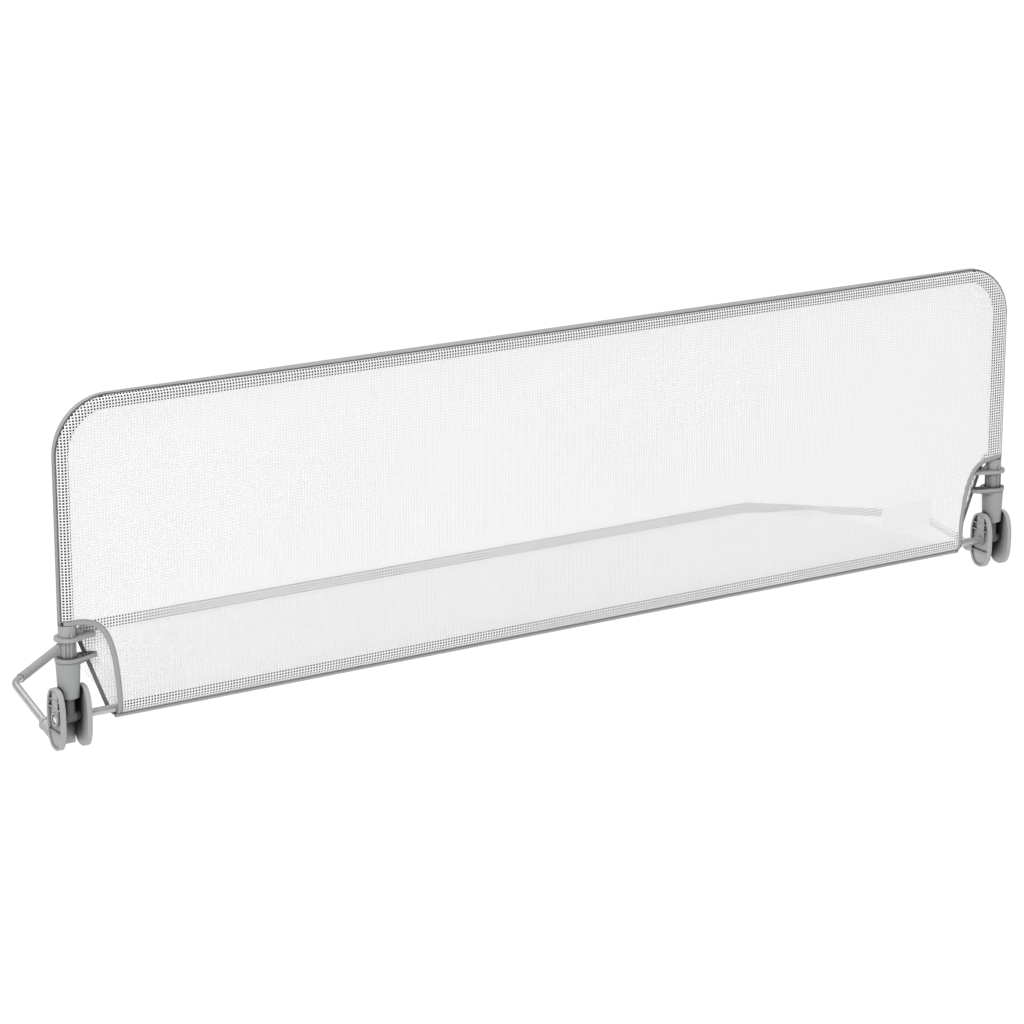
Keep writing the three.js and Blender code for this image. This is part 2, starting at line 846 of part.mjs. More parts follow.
function post() {
  const flangeTop = flangeUnderside + flangeThickness;
  const plugTop = neckTop + plugLength;
  const plug = turnedZ([
    [0, neckTop - cutOverrun],
    [plugRadius, neckTop - cutOverrun],
    [plugRadius, plugTop - plugTip],
    [plugRadius - plugTip, plugTop],
    [0, plugTop],
  ], roundSides);
  const neck = barZ(neckRadius, flangeUnderside, neckTop, roundSides);
  const flangeOutline = tabOutline(flangeRadius, flangeTabReach, flangeTabRadius);
  const flange = cut(
    flatSlab(flangeOutline, flangeUnderside, flangeTop),
    tabRearTrim(flangeUnderside, flangeTop),
  );
  const core = barZ(ribCoreRadius, ribFoot, flangeTop, roundSides);
  const ribs = [];
  for (let i = 0; i < ribCount; i += 1) {
    const rib = new THREE.BoxGeometry(ribTipRadius, ribWidth, flangeTop - ribFoot);
    rib.translate(ribTipRadius / 2, 0, (flangeTop + ribFoot) / 2).rotateZ((2 * Math.PI * i) / ribCount);
    ribs.push(solid(rib));
  }
  const tongue = barZ(tongueRadius, 0, flangeTop, roundSides);
  const eye = barX(tongueRadius, -tongueHalfWidth, tongueHalfWidth, roundSides);
  const flats = sideSlab(
    rectangle(-cheekDepth, cheekDepth, -cheekHeight, plugTop),
    -tongueHalfWidth,
    tongueHalfWidth,
  );
  const lower = joined(tongue, eye).intersect(flats);
  const hinge = barX(boltRadius + fitGap, -cheekGap, cheekGap, smallSides);
  const rivetHole = solid(geometryOf(barY(rivetRadius + fitGap, -cheekGap, cheekGap, smallSides))
    .translate(0, 0, rivetHeight));
  const body = joined(plug, neck, flange, core, ...ribs, lower, gussets(flangeTop));
  return cut(body, hinge, rivetHole);
}

function gussets(flangeTop) {
  const rise = flangeTop + gussetRise;
  const base = flangeTop - cutOverrun / 2;
  const half = gussetThickness / 2;
  const long = uprightSlab([[0, base], [0, rise], [-neckRadius, rise], [-gussetReach, base]], -half, half);
  const short = [
    [-smallGussetReach, base],
    [smallGussetReach, base],
    [neckRadius, rise],
    [-neckRadius, rise],
  ];
  return joined(long, sideSlab(short, -half, half));
}

function postRivet() {
  const head = hoopTubeRadius - fitGap;
  return solid(geometryOf(barY(rivetRadius, -head, head, smallSides)).translate(0, 0, rivetHeight));
}

// Release collar: a tapered sleeve with a finger tab, which slides up the ribbed guide

function releaseCollar() {
  const rimFoot = collarTop - collarRimHeight;
  const stepFoot = rimFoot - collarStepHeight;
  const sleeve = turnedZ([
    [0, collarFoot],
    [collarFootRadius, collarFoot],
    [collarShoulderRadius, stepFoot],
    [collarShoulderRadius, collarTop],
    [0, collarTop],
  ], roundSides);
  const collarTab = (inset) => tabOutline(flangeRadius, collarTabReach, collarTabRadius, inset);
  const rim = flatSlab(collarTab(0), rimFoot, collarTop);
  const step = flatSlab(collarTab(collarStepInset), stepFoot, rimFoot);
  const tab = cut(joined(rim, step), tabRearTrim(stepFoot, collarTop));
  const bore = barZ(collarBoreRadius, collarFoot + collarLedge, collarTop + cutOverrun, roundSides);
  const ledgeHole = barZ(tongueRadius + fitGap, collarFoot - cutOverrun, collarTop, roundSides);
  return cut(joined(sleeve, tab), bore, ledgeHole, ...grooves());
}

function grooves() {
  const foot = collarTop - grooveDepth;
  const inside = flatSlab(
    tabOutline(flangeRadius, collarTabReach, collarTabRadius, grooveMargin),
    foot,
    collarTop + cutOverrun,
  );
  const trimmed = cut(inside, flatSlab(
    rectangle(-collarTabReach, 0, flangeRearTrim - grooveMargin, flangeRadius),
    foot - cutOverrun,
    collarTop + longOverrun,
  ));
  return grooveRadii.map((radius) => {
    const line = arc(0, 0, radius, 180 - grooveHalfArc, 180 + grooveHalfArc, smallSides);
    const ring = strip(line, grooveWidth / 2, -grooveWidth / 2);
    return flatSlab(ring, foot, collarTop + cutOverrun).intersect(trimmed);
  });
}

function collarSpring() {
  const wire = springWireRadius;
  const foot = collarFoot + collarLedge + fitGap + wire;
  const top = ribFoot - fitGap - wire;
  const count = springTurns * springStepsPerTurn;
  const rings = [];
  for (let i = 0; i <= count; i += 1) {
    const turn = (2 * Math.PI * i) / springStepsPerTurn;
    const height = foot + ((top - foot) * i) / count;
    const ring = [];
    for (let k = 0; k < springSides; k += 1) {
      const a = (2 * Math.PI * k) / springSides;
      const r = springMeanRadius + wire * Math.cos(a);
      ring.push(new THREE.Vector3(r * Math.cos(turn), r * Math.sin(turn), height + wire * Math.sin(a)));
    }
    rings.push(ring);
  }
  return loft(rings);
}

// A closed skin through a row of equal rings
function loft(rings) {
  const sides = rings[0].length;
  const geometry = new THREE.BufferGeometry().setFromPoints(rings.flat());
  const index = [];
  for (let i = 0; i < rings.length - 1; i += 1) {
    for (let k = 0; k < sides; k += 1) {
      const next = (k + 1) % sides;
      const a = i * sides + k;
      const b = i * sides + next;
      index.push(a, a + sides, b, b, a + sides, b + sides);
    }
  }
  const last = (rings.length - 1) * sides;
  for (let k = 1; k < sides - 1; k += 1) {
    index.push(0, k, k + 1);
    index.push(last, last + k + 1, last + k);
  }
  geometry.setIndex(index);
  return solid(geometry);
}

// Assembly

const guardRail = new THREE.Group();
const foldLine = new THREE.Group();
foldLine.position.set(0, -baseDepth / 2, basePlaneDrop + sleeveOuter);
guardRail.add(foldLine);

function place(name, body, look, parent = foldLine) {
  const mesh = new THREE.Mesh(geometryOf(body), new THREE.MeshStandardMaterial(paint[look]));
  mesh.name = name;
  parent.add(mesh);
}

function placePair(name, body, look) {
  for (const [side, sign] of [['left', -1], ['right', 1]]) {
    const group = new THREE.Group();
    group.position.x = sign * hingeX;
    foldLine.add(group);
    place(`${name}_${side}`, sign < 0 ? mirroredX(body) : body, look, group);
  }
}

function placeCoverPair(name, body, look) {
  place(`${name}_left`, mirroredX(body), look);
  place(`${name}_right`, body, look);
}

const outerSpacer = pivotSpacer();
const backTape = mirroredY(edgeTape(backCutLine(), cornerTapeWidth));

place('base_frame_tube', tubeOn(baseRoute(), baseTubeRadius, baseTubeWall, boreSides), 'steel');
place('front_rod', frontRod(), 'steel');
place('floor_mesh', floorMesh(), 'mesh');
placeCoverPair('side_sleeve', sideSleeve(), 'tape');
placePair('outer_cheek', outerCheek(), 'plastic');
placePair('inner_cheek', innerCheek(), 'plastic');
placePair('bracket_core', bracketCore(), 'darkPlastic');
placePair('pivot_bolt', pivotBolt(), 'zinc');
placePair('outer_pivot_spacer', outerSpacer, 'darkPlastic');
placePair('inner_pivot_spacer', mirroredX(outerSpacer), 'darkPlastic');
placePair('socket_screw', socketScrew(), 'zinc');

place('rail_tube', hoopTube(), 'steel');
place('front_mesh', coverPanel(archLine(), archTapeWidth), 'mesh');
place('back_mesh', mirroredY(coverPanel(backCutLine(), cornerTapeWidth)), 'mesh');
place('rail_binding', hoopBinding(), 'tape');
placeCoverPair('arch_tape', edgeTape(archLine(), archTapeWidth), 'tape');
placeCoverPair('corner_tape', backTape, 'tape');
place('hem_tape', hemTape(), 'tape');
place('label_patch', labelPatch(), 'label');
placePair('post', post(), 'plastic');
placePair('post_rivet', postRivet(), 'zinc');

placePair('release_collar', releaseCollar(), 'plastic');
placePair('collar_spring', collarSpring(), 'zinc');

export default guardRail;
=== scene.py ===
# Looks of the folding bed guard rail: woven mesh, tapes, tubes and moulded hinge parts.
# Metres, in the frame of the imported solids. The fold line is the axis of both hinge bolts.

import json
import math

import bmesh
import bpy
import numpy as np
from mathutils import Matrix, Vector

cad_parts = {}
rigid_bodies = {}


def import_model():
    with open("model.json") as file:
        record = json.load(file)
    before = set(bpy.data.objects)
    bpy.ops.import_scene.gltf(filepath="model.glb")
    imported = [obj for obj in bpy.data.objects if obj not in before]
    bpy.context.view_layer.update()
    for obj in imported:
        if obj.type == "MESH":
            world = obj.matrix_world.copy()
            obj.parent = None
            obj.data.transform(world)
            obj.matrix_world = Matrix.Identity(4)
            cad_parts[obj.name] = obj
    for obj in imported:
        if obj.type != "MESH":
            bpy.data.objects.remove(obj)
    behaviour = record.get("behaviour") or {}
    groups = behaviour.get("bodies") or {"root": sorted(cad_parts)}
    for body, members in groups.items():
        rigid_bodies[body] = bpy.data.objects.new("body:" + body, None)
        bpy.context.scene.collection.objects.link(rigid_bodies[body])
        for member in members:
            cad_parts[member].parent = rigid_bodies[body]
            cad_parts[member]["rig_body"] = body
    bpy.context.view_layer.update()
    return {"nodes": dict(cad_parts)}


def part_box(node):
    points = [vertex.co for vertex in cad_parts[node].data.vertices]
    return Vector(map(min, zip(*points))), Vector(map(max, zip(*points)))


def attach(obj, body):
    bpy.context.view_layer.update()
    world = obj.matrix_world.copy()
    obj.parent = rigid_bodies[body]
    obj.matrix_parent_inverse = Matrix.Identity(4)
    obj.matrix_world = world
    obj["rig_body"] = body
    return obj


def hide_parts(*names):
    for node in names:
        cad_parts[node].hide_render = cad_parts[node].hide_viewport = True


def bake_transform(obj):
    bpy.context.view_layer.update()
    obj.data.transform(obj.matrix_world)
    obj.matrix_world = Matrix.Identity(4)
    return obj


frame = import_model()

# The fold line, and the hoop that turns about it. Depths and heights are taken from the fold
# line, except those of the finger tab and of the materials, which are places in the frame.
FOLD_Y = -0.169
FOLD_Z = 0.0089
HINGE_X = 0.729
HOOP_TOP = 0.3888
HOOP_CORNER = 0.062
HOOP_TUBE = 0.009
HOOP_WALL = 0.0012
HOOP_FOOT = 0.1183

# The two walls and the binding, each at its own radius round the hoop's tube
SHEET = 0.0096
WALL_WRAP = math.radians(64)
WALL_HALF = 0.745
WALL_TOP = 0.402
WRAP_FOOT = -0.05
BINDING_IN = 0.0102
BINDING_OUT = 0.0111
BINDING_FOOT = 0.1190
BINDING_BACK = math.radians(55)

# The hem, where the walls turn in under the rod
HEM_TURN = 0.005
HEM_DROP = 0.012
HEM_TAIL = -0.0064
HEM_GAP = 0.0012
HEM_INSIDE = 0.0013

# The cuts at the lower corners: an arch in the front wall, a straight line in the back wall
CUT_SIDE = HINGE_X + 0.0131
ARCH_HEIGHT = 0.1222
ARCH_SIDE = 0.664
ARCH_SHOULDER = 0.690
ARCH_KNEE = 0.6679
BACK_CUT_TOP = 0.720
BACK_CUT_BEND = 0.006
BACK_CUT_FOOT = 0.667
BACK_CUT_END = -0.014
CUT_TAPE_WRAP = math.radians(50)
CUT_TAPE_FOOT = -0.0075

# The base frame's tube and rod; a leg goes down from its bend to the socket
BASE_TUBE = 0.005
BASE_WALL = 0.001
ROD_WALL = 0.0017
BASE_Z = -0.003
LEG_BEND = (0.727, 0.163)
LEG_BEND_RADIUS = 0.026
LEG_SLOPE = 0.195
BACK_CORNER = (0.535, 0.338)
BACK_RADIUS = 0.038
SOCKET_X = 0.0061
SOCKET_MOUTH = 0.0585
SOCKET_STOP = 0.024
SOCKET_PLAY = 0.0003

# The floor cloth: its side seams end part of the way along the slanting tubes
FLOOR_FRONT = 0.0126
FLOOR_FRONT_HALF = 0.658
FLOOR_HALF = 0.70
FLOOR_BACK = 0.37
FLOOR_SIDE_SHARE = 0.58
SIDE_SEAM_X = LEG_BEND[0] + (BACK_CORNER[0] - LEG_BEND[0]) * FLOOR_SIDE_SHARE
SIDE_SEAM_Y = LEG_BEND[1] + (BACK_CORNER[1] - LEG_BEND[1]) * FLOOR_SIDE_SHARE

# It's sewn to the slack edge of the rear sleeve, so it drops a little there
REAR_DROP = 0.0085
REAR_REACH = 0.060

# Sleeves round the base frame's tube and the rod
SLEEVE_OUT = 0.0059
SLEEVE_THICK = 0.0005
SLEEVE_SIDES = 28
FRONT_SLACK = 0.0012
REAR_SLACK = 0.0050

# Weave: BESIDE is how far the back wall's yarns show beside the front's
PITCH_X = 0.0041
PITCH_Z = 0.0037
YARN_WIDE_X = 0.0016
YARN_WIDE_Z = 0.0014
YARN_THICK = 0.0005
YARN_LIFT = 0.0001
SAMPLE = 0.0015
SLACK = 0.00006
BESIDE = 0.0003

# Seams
STITCH_PITCH = 0.0042
STITCH_LENGTH = 0.0026
STITCH_THICK = 0.00035
STITCH_INSET = math.radians(7)

# Finger tab of the release collar
TAB_STEP = 0.0771
TAB_NEAR = 0.0006
TAB_UNDER = 0.0809
TAB_START = 0.016

# Steps of a bend, for cloth and for tubes, and the angle from which an edge counts as sharp
CLOTH_BEND_STEPS = 24
TUBE_BEND_STEPS = 16
SHARP = math.radians(38)

# Where the photo was taken from
EYE = (-2.4995, -3.9179, 1.4198)
HEADING = math.radians(57.24)
TILT = math.radians(-15.65)
LENS = 124.99

# Studio: brightness of the room near the horizon and overhead, and the floor's own light
ROOM_LOW = 0.12
ROOM_HIGH = 0.62
HANG_ROOM = 0.02
FLOOR_REACH = 30
FLOOR_GREY = 0.17
FLOOR_GLOW = 0.84


class Value:
    """A node socket in a sum: operators add Math nodes."""

    def __init__(self, finish, socket):
        self.finish = finish
        self.socket = socket

    def math(self, operation, first, second):
        return self.finish.node("ShaderNodeMath", {"operation": operation}, {0: first, 1: second}).out()

    def __add__(self, other):
        return self.math("ADD", self, other)

    def __radd__(self, other):
        return self.math("ADD", other, self)

    def __sub__(self, other):
        return self.math("SUBTRACT", self, other)

    def __rsub__(self, other):
        return self.math("SUBTRACT", other, self)

    def __mul__(self, other):
        return self.math("MULTIPLY", self, other)

    def __rmul__(self, other):
        return self.math("MULTIPLY", other, self)


class Placed:
    """A node that has been made, and its outputs."""

    def __init__(self, finish, node):
        self.finish = finish
        self.node = node

    def out(self, name=0):
        return Value(self.finish, self.node.outputs[name])


class Finish:
    """One material, made from nodes."""

    def __init__(self, name, colour, roughness, **constants):
        self.material = bpy.data.materials.new(name)
        self.material.use_nodes = True
        self.tree = self.material.node_tree
        self.tree.nodes.clear()
        output = self.tree.nodes.new("ShaderNodeOutputMaterial")
        self.shader = self.tree.nodes.new("ShaderNodeBsdfPrincipled")
        self.tree.links.new(self.shader.outputs[0], output.inputs["Surface"])
        self.shader.inputs["Base Color"].default_value = (*colour, 1)
        self.shader.inputs["Roughness"].default_value = roughness
        for socket, value in constants.items():
            self.shader.inputs[socket.replace("_", " ")].default_value = value

    def node(self, kind, settings=None, values=None):
        node = self.tree.nodes.new(kind)
        for key, value in (settings or {}).items():
            setattr(node, key, value)
        for key, value in (values or {}).items():
            if isinstance(value, Value):
                self.tree.links.new(value.socket, node.inputs[key])
            else:
                node.inputs[key].default_value = value
        return Placed(self, node)

    def feed(self, socket, value):
        self.tree.links.new(value.socket, self.shader.inputs[socket])

    def place(self):
        return self.node("ShaderNodeTexCoord").out("Object")

    def noise(self, scale, detail=2.0, where=None):
        values = {"Vector": where or self.place(), "Scale": scale, "Detail": detail}
        return self.node("ShaderNodeTexNoise", {}, values).out("Fac")

    def stretched(self, scales):
        values = {"Vector": self.place(), "Scale": scales}
        return self.node("ShaderNodeMapping", {}, values).out()

    def tint(self, colour, spread, amount):
        """Colour between a darker and a lighter shade, by an amount from 0 to 1."""
        dark = tuple(c * (1 - spread) for c in colour) + (1,)
        light = tuple(min(1.0, c * (1 + spread)) for c in colour) + (1,)
        mix = self.node("ShaderNodeMix", {"data_type": "RGBA"}, {0: amount, 6: dark, 7: light})
        self.feed("Base Color", mix.out(2))

    def recess(self, reach):
        """0 deep in a recess, 1 on open faces; it sets how much shade is painted into the colour."""
        node = self.node("ShaderNodeAmbientOcclusion", {"samples": 8}, {"Distance": reach})
        return node.out("AO")

    def smooth_step(self, value, start, end):
        steps = {0: value, 1: start, 2: end}
        return self.node("ShaderNodeMapRange", {"interpolation_type": "SMOOTHSTEP"}, steps).out()

    def relief(self, height, distance, strength=1.0):
        values = {"Height": height, "Distance": distance, "Strength": strength}
        self.feed("Normal", self.node("ShaderNodeBump", {}, values).out())


def moulded(name, colour, roughness=0.5, gap=None, grooves=False, dim_below=None):
    """Plastic with painted shade: darker in its corners and ribs, and in the gaps between the pieces.

    gap is the openness of a deep gap, where the painted shade comes out black, and that of a lit face.
    dim_below is the height below which the piece lies between other pieces, gets little light and is
    painted darker.
    """
    rib_reach, gap_reach, wide_gap_reach, groove_reach = 0.004, 0.034, 0.06, 0.0025
    dim_fade, dimmed = 0.004, 0.28
    finish = Finish(name, colour, roughness, Specular_IOR_Level=0.45)
    grain = finish.noise(1500.0, 1.0)
    flow = finish.noise(38.0, 3.0, finish.stretched((1.0, 1.0, 0.35)))
    # Painted shade: ambient occlusion darkens the colour in ribs, corners, gaps and grooves.
    unshaded_share = finish.recess(rib_reach)
    if gap:
        unshaded_share = unshaded_share * finish.smooth_step(finish.recess(wide_gap_reach), *gap)
    else:
        unshaded_share = unshaded_share * finish.recess(gap_reach)
    if grooves:
        unshaded_share = unshaded_share * finish.smooth_step(finish.recess(groove_reach), 0.60, 0.97)
    # Painted shade: the colour is darker below dim_below, where the piece sits between others.
    if dim_below:
        height = finish.node("ShaderNodeSeparateXYZ", {}, {0: finish.place()}).out(2)
        lit = finish.smooth_step(height, dim_below - dim_fade, dim_below)
        unshaded_share = unshaded_share * (lit * (1 - dimmed) + dimmed)
    mottle = flow * 0.75 + grain * 0.25
    finish.tint(colour, 0.97, unshaded_share * 0.5 + mottle * 0.05 - 0.025)
    finish.feed("Roughness", flow * 0.12 + (roughness - 0.06))
    finish.relief(grain, 0.00006, 0.5)
    return finish.material


def coated_tube(name, colour, roughness, shade_under_cloth=None):
    """covered is an axis and the place on it beyond which cloth hides the tube; there the tube's colour is
    painted darker, as shade under the cloth.

    A place below 0 stands for both ends: the cloth lies between it and its mirror image.
    """
    bare, fade = 0.45, 0.001
    finish = Finish(name, colour, roughness, Metallic=0.55)
    speckle = finish.noise(900.0, 2.0)
    broad = finish.noise(22.0, 2.0)
    shade = broad * 0.06 + speckle * 0.04
    # Painted shade: the tube is darker where cloth covers it.
    if shade_under_cloth:
        axis, edge = shade_under_cloth
        far = finish.node("ShaderNodeSeparateXYZ", {}, {0: finish.place()}).out(axis)
        if edge < 0:
            far = 0 - finish.node("ShaderNodeMath", {"operation": "ABSOLUTE"}, {0: far}).out()
        shade = shade + bare - finish.smooth_step(far, edge - fade, edge + fade) * bare
    else:
        shade = shade + bare
    finish.tint(colour, 0.9, shade)
    finish.feed("Roughness", broad * 0.10 + (roughness - 0.05))
    finish.relief(speckle, 0.00003, 0.4)
    return finish.material


def bare_metal(name, colour, roughness):
    finish = Finish(name, colour, roughness, Metallic=0.95)
    streaks = finish.noise(500.0, 2.0, finish.stretched((0.12, 1.0, 1.0)))
    finish.tint(colour, 0.06, streaks)
    finish.feed("Roughness", streaks * 0.14 + (roughness - 0.07))
    finish.relief(streaks, 0.00002, 0.35)
    return finish.material


def coated_yarn(name, colour):
    finish = Finish(name, colour, 0.55, Specular_IOR_Level=0.35)
    lumps = finish.noise(700.0, 2.0)
    cloudy = finish.noise(9.0, 2.0)
    finish.tint(colour, 0.03, lumps * 0.5 + cloudy * 0.5)
    finish.feed("Roughness", lumps * 0.16 + 0.47)
    finish.relief(lumps, 0.00008, 0.5)
    return finish.material


def woven(name, colour, along, across, edge=0.0):
    """Flat woven tape: ribs across it and fine lines along it, from its own map in metres.

    edge is the width of the fold along the side where the map starts, painted darker as shade.
    """
    finish = Finish(name, colour, 0.85, Specular_IOR_Level=0.2)
    flat = finish.node("ShaderNodeUVMap", {"uv_map": "cloth"}).out()
    parts = finish.node("ShaderNodeSeparateXYZ", {}, {0: flat})
    turn = 2 * math.pi
    ribs = finish.node("ShaderNodeMath", {"operation": "SINE"}, {0: parts.out(0) * (turn / along)}).out()
    lines = finish.node("ShaderNodeMath", {"operation": "SINE"}, {0: parts.out(1) * (turn / across)}).out()
    weave = (ribs * lines) * 0.5 + 0.5
    fuzz = finish.noise(1800.0, 2.0)
    mottle = weave * 0.55 + fuzz * 0.45
    # Painted shade: the tape is darker along its folded edge.
    if edge:
        past_fold = finish.smooth_step(parts.out(1), edge * 0.6, edge)
        finish.tint(colour, 0.80, past_fold * (mottle * 0.14 + 0.43))
    else:
        finish.tint(colour, 0.11, mottle)
    finish.feed("Roughness", fuzz * 0.12 + 0.80)
    finish.relief(weave * 0.7 + fuzz * 0.3, 0.00018, 0.7)
    return finish.material


# These plastics carry painted shade in ribs, corners, grooves and gaps; the post's colour is also painted
# darker at its foot.
COLLAR_PLASTIC = moulded("grooved_collar_plastic", (0.335, 0.34, 0.345), 0.48, grooves=True)
CHEEK_PLASTIC = moulded("ribbed_cheek_plastic", (0.40, 0.405, 0.41), 0.48, (0.25, 0.60))
POST_PLASTIC = moulded("post_plastic", (0.36, 0.365, 0.37), 0.48, (0.12, 0.45), dim_below=0.034)
NYLON = moulded("turned_spacer_nylon", (0.05, 0.05, 0.052), 0.45)
# The tube and the rod are painted darker where cloth covers them, as shade under the cloth.
TUBE = coated_tube("satin_silver_tube", (0.52, 0.525, 0.53), 0.30, shade_under_cloth=(1, 0.0955))
ROD = coated_tube("satin_silver_rod", (0.52, 0.525, 0.53), 0.30, shade_under_cloth=(0, -0.659))
# The hoop tube's near-black colour is partly a guess at its own colour and partly painted shade for the
# inside of its sleeve.
HOOP_SHADED = coated_tube("hoop_tube_painted_shade", (0.032, 0.032, 0.033), 0.6)
ZINC = bare_metal("zinc_plated_steel", (0.78, 0.785, 0.79), 0.26)
WIRE = bare_metal("drawn_spring_wire", (0.55, 0.55, 0.56), 0.32)
YARN = coated_yarn("white_coated_yarn", (0.875, 0.875, 0.873))
# The corner tapes behind use a darker copy of the grey edge tape: painted shade.
REAR_TAPE_SHADED = woven("woven_edge_tape_painted_shade", (0.17, 0.172, 0.175), 0.0011, 0.0009)
TAPE = woven("woven_grey_edge_tape", (0.37, 0.375, 0.38), 0.0011, 0.0009)
# The binding's folded front edge is painted darker, as shade.
BINDING = woven("woven_grey_binding", (0.35, 0.355, 0.36), 0.0011, 0.0009, edge=0.0008)
SLEEVE = woven("woven_grey_sleeve", (0.33, 0.335, 0.34), 0.0012, 0.0012)
# The sleeves under the mesh are near-black, partly a guess at their colour and partly painted shade under
# the mesh.
SLEEVE_SHADED = woven("woven_sleeve_painted_shade", (0.04, 0.041, 0.042), 0.0012, 0.0012)
PATCH = woven("plain_white_patch", (0.86, 0.86, 0.857), 0.0006, 0.0006)
THREAD = coated_yarn("grey_sewing_thread", (0.24, 0.243, 0.247))


def new_piece(name, points, faces, material, body, flat_map=None, smooth=True):
    mesh = bpy.data.meshes.new(name)
    mesh.from_pydata([tuple(p) for p in points], [], [tuple(int(i) for i in f) for f in faces])
    if flat_map is not None:
        layer = mesh.uv_layers.new(name="cloth")
        corner = np.array([loop.vertex_index for loop in mesh.loops])
        layer.data.foreach_set("uv", np.asarray(flat_map)[corner].astype(np.float32).ravel())
    mesh.polygons.foreach_set("use_smooth", np.full(len(mesh.polygons), smooth))
    mesh.materials.append(material)
    mesh.update()
    mesh.validate()
    piece = bpy.data.objects.new(name, mesh)
    bpy.context.scene.collection.objects.link(piece)
    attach(piece, body)
    return piece


# Outlines that the cloth is wrapped round


def rounded(corners):
    """Points of a line with round bends; a corner is (x, y, radius)."""
    points = []
    for i, (x, y, radius) in enumerate(corners):
        here = np.array([x, y])
        if i in (0, len(corners) - 1) or radius == 0:
            points.append(here)
            continue
        before = np.array(corners[i - 1][:2]) - here
        after = np.array(corners[i + 1][:2]) - here
        before /= np.linalg.norm(before)
        after /= np.linalg.norm(after)
        half = math.acos(np.clip(before @ after, -1, 1)) / 2
        middle = (before + after) / np.linalg.norm(before + after)
        centre = here + middle * radius / math.sin(half)
        start = here + before * radius / math.tan(half) - centre
        end = here + after * radius / math.tan(half) - centre
        first = math.atan2(start[1], start[0])
        turn = (math.atan2(end[1], end[0]) - first + math.pi) % (2 * math.pi) - math.pi
        for step in range(CLOTH_BEND_STEPS + 1):
            angle = first + turn * step / CLOTH_BEND_STEPS
            points.append(centre + radius * np.array([math.cos(angle), math.sin(angle)]))
    return np.array(points)


class Edge:
    """A tube's centreline in the plane of the cloth, with outward normals."""

    def __init__(self, corners):
        self.points = rounded(corners)
        steps = np.diff(self.points, axis=0)
        steps /= np.linalg.norm(steps, axis=1)[:, None]
        normals = np.column_stack([-steps[:, 1], steps[:, 0]])
        joint = np.vstack([normals[:1], normals[:-1] + normals[1:], normals[-1:]])
        self.normals = joint / np.linalg.norm(joint, axis=1)[:, None]

    def nearest(self, flat):
        """Signed distance outwards, foot on the line and normal there, for each point."""
        best = np.full(len(flat), np.inf)
        foot = np.zeros_like(flat)
        normal = np.zeros_like(flat)
        for a, b, na, nb in zip(self.points[:-1], self.points[1:], self.normals[:-1], self.normals[1:]):
            run = b - a
            share = np.clip(((flat - a) @ run) / (run @ run), 0, 1)
            place = a + share[:, None] * run
            distance = np.linalg.norm(flat - place, axis=1)
            closer = distance < best
            best[closer] = distance[closer]
            foot[closer] = place[closer]
            normal[closer] = (na + share[:, None] * (nb - na))[closer]
        normal /= np.linalg.norm(normal, axis=1)[:, None]
        return ((flat - foot) * normal).sum(1), foot, normal


def eased(t):
    t = np.clip(t, 0, 1)
    return t * t * (3 - 2 * t)


hoop_edge = Edge([
    (-HINGE_X, WRAP_FOOT, 0),
    (-HINGE_X, HOOP_TOP, HOOP_CORNER),
    (HINGE_X, HOOP_TOP, HOOP_CORNER),
    (HINGE_X, WRAP_FOOT, 0),
])


def hem_curve():
    """The turn under the rod: arc length, distance forward and height."""
    angles = np.linspace(0, math.pi / 2, 40)
    forward = HEM_GAP + (SHEET - HEM_GAP) * np.cos(angles)
    height = HEM_TURN - (HEM_TURN - HEM_TAIL) * np.sin(angles)
    forward = np.append(forward, HEM_GAP)
    height = np.append(height, -HEM_DROP + HEM_INSIDE)
    length = np.append(0, np.cumsum(np.hypot(np.diff(forward), np.diff(height))))
    return length, forward, height


HEM_LENGTH, HEM_FORWARD, HEM_HEIGHT = hem_curve()


def wall(side):
    """Maps flat cloth (x, z) to one wall of the cover; side is -1 in front and 1 behind."""

    def at(flat):
        distance, foot, normal = hoop_edge.nearest(flat)
        forward = np.full(len(flat), SHEET)
        place = flat.copy()
        wrap = np.maximum(distance, 0) / SHEET
        over = distance > 0
        place[over] = foot[over] + normal[over] * (SHEET * np.sin(wrap[over]))[:, None]
        forward[over] = SHEET * np.cos(wrap[over])
        low = flat[:, 1] < HEM_TURN
        along = HEM_TURN - flat[low, 1]
        forward[low] = np.interp(along, HEM_LENGTH, HEM_FORWARD)
        place[low, 1] = np.interp(along, HEM_LENGTH, HEM_HEIGHT)
        return np.column_stack([place[:, 0], FOLD_Y + side * forward, FOLD_Z + place[:, 1]])

    return at


base_edge = Edge([
    (-LEG_BEND[0], LEG_BEND[1], 0),
    (-BACK_CORNER[0], BACK_CORNER[1], BACK_RADIUS),
    (BACK_CORNER[0], BACK_CORNER[1], BACK_RADIUS),
    (LEG_BEND[0], LEG_BEND[1], 0),
])


def floor(flat):
    """Maps flat cloth (x, y) to the floor, whose rear edge drops a little."""
    distance, _, _ = base_edge.nearest(flat)
    drop = REAR_DROP * eased(1 + distance / REAR_REACH) * eased((flat[:, 1] - SIDE_SEAM_Y) / REAR_REACH)
    return np.column_stack([flat[:, 0], FOLD_Y + flat[:, 1], FOLD_Z + BASE_Z - drop])


def surface_normals(mapping, flat):
    small = 0.00005
    dx = mapping(flat + [small, 0]) - mapping(flat - [small, 0])
    dz = mapping(flat + [0, small]) - mapping(flat - [0, small])
    normal = np.cross(dx, dz)
    return normal / np.maximum(np.linalg.norm(normal, axis=1), 1e-12)[:, None]


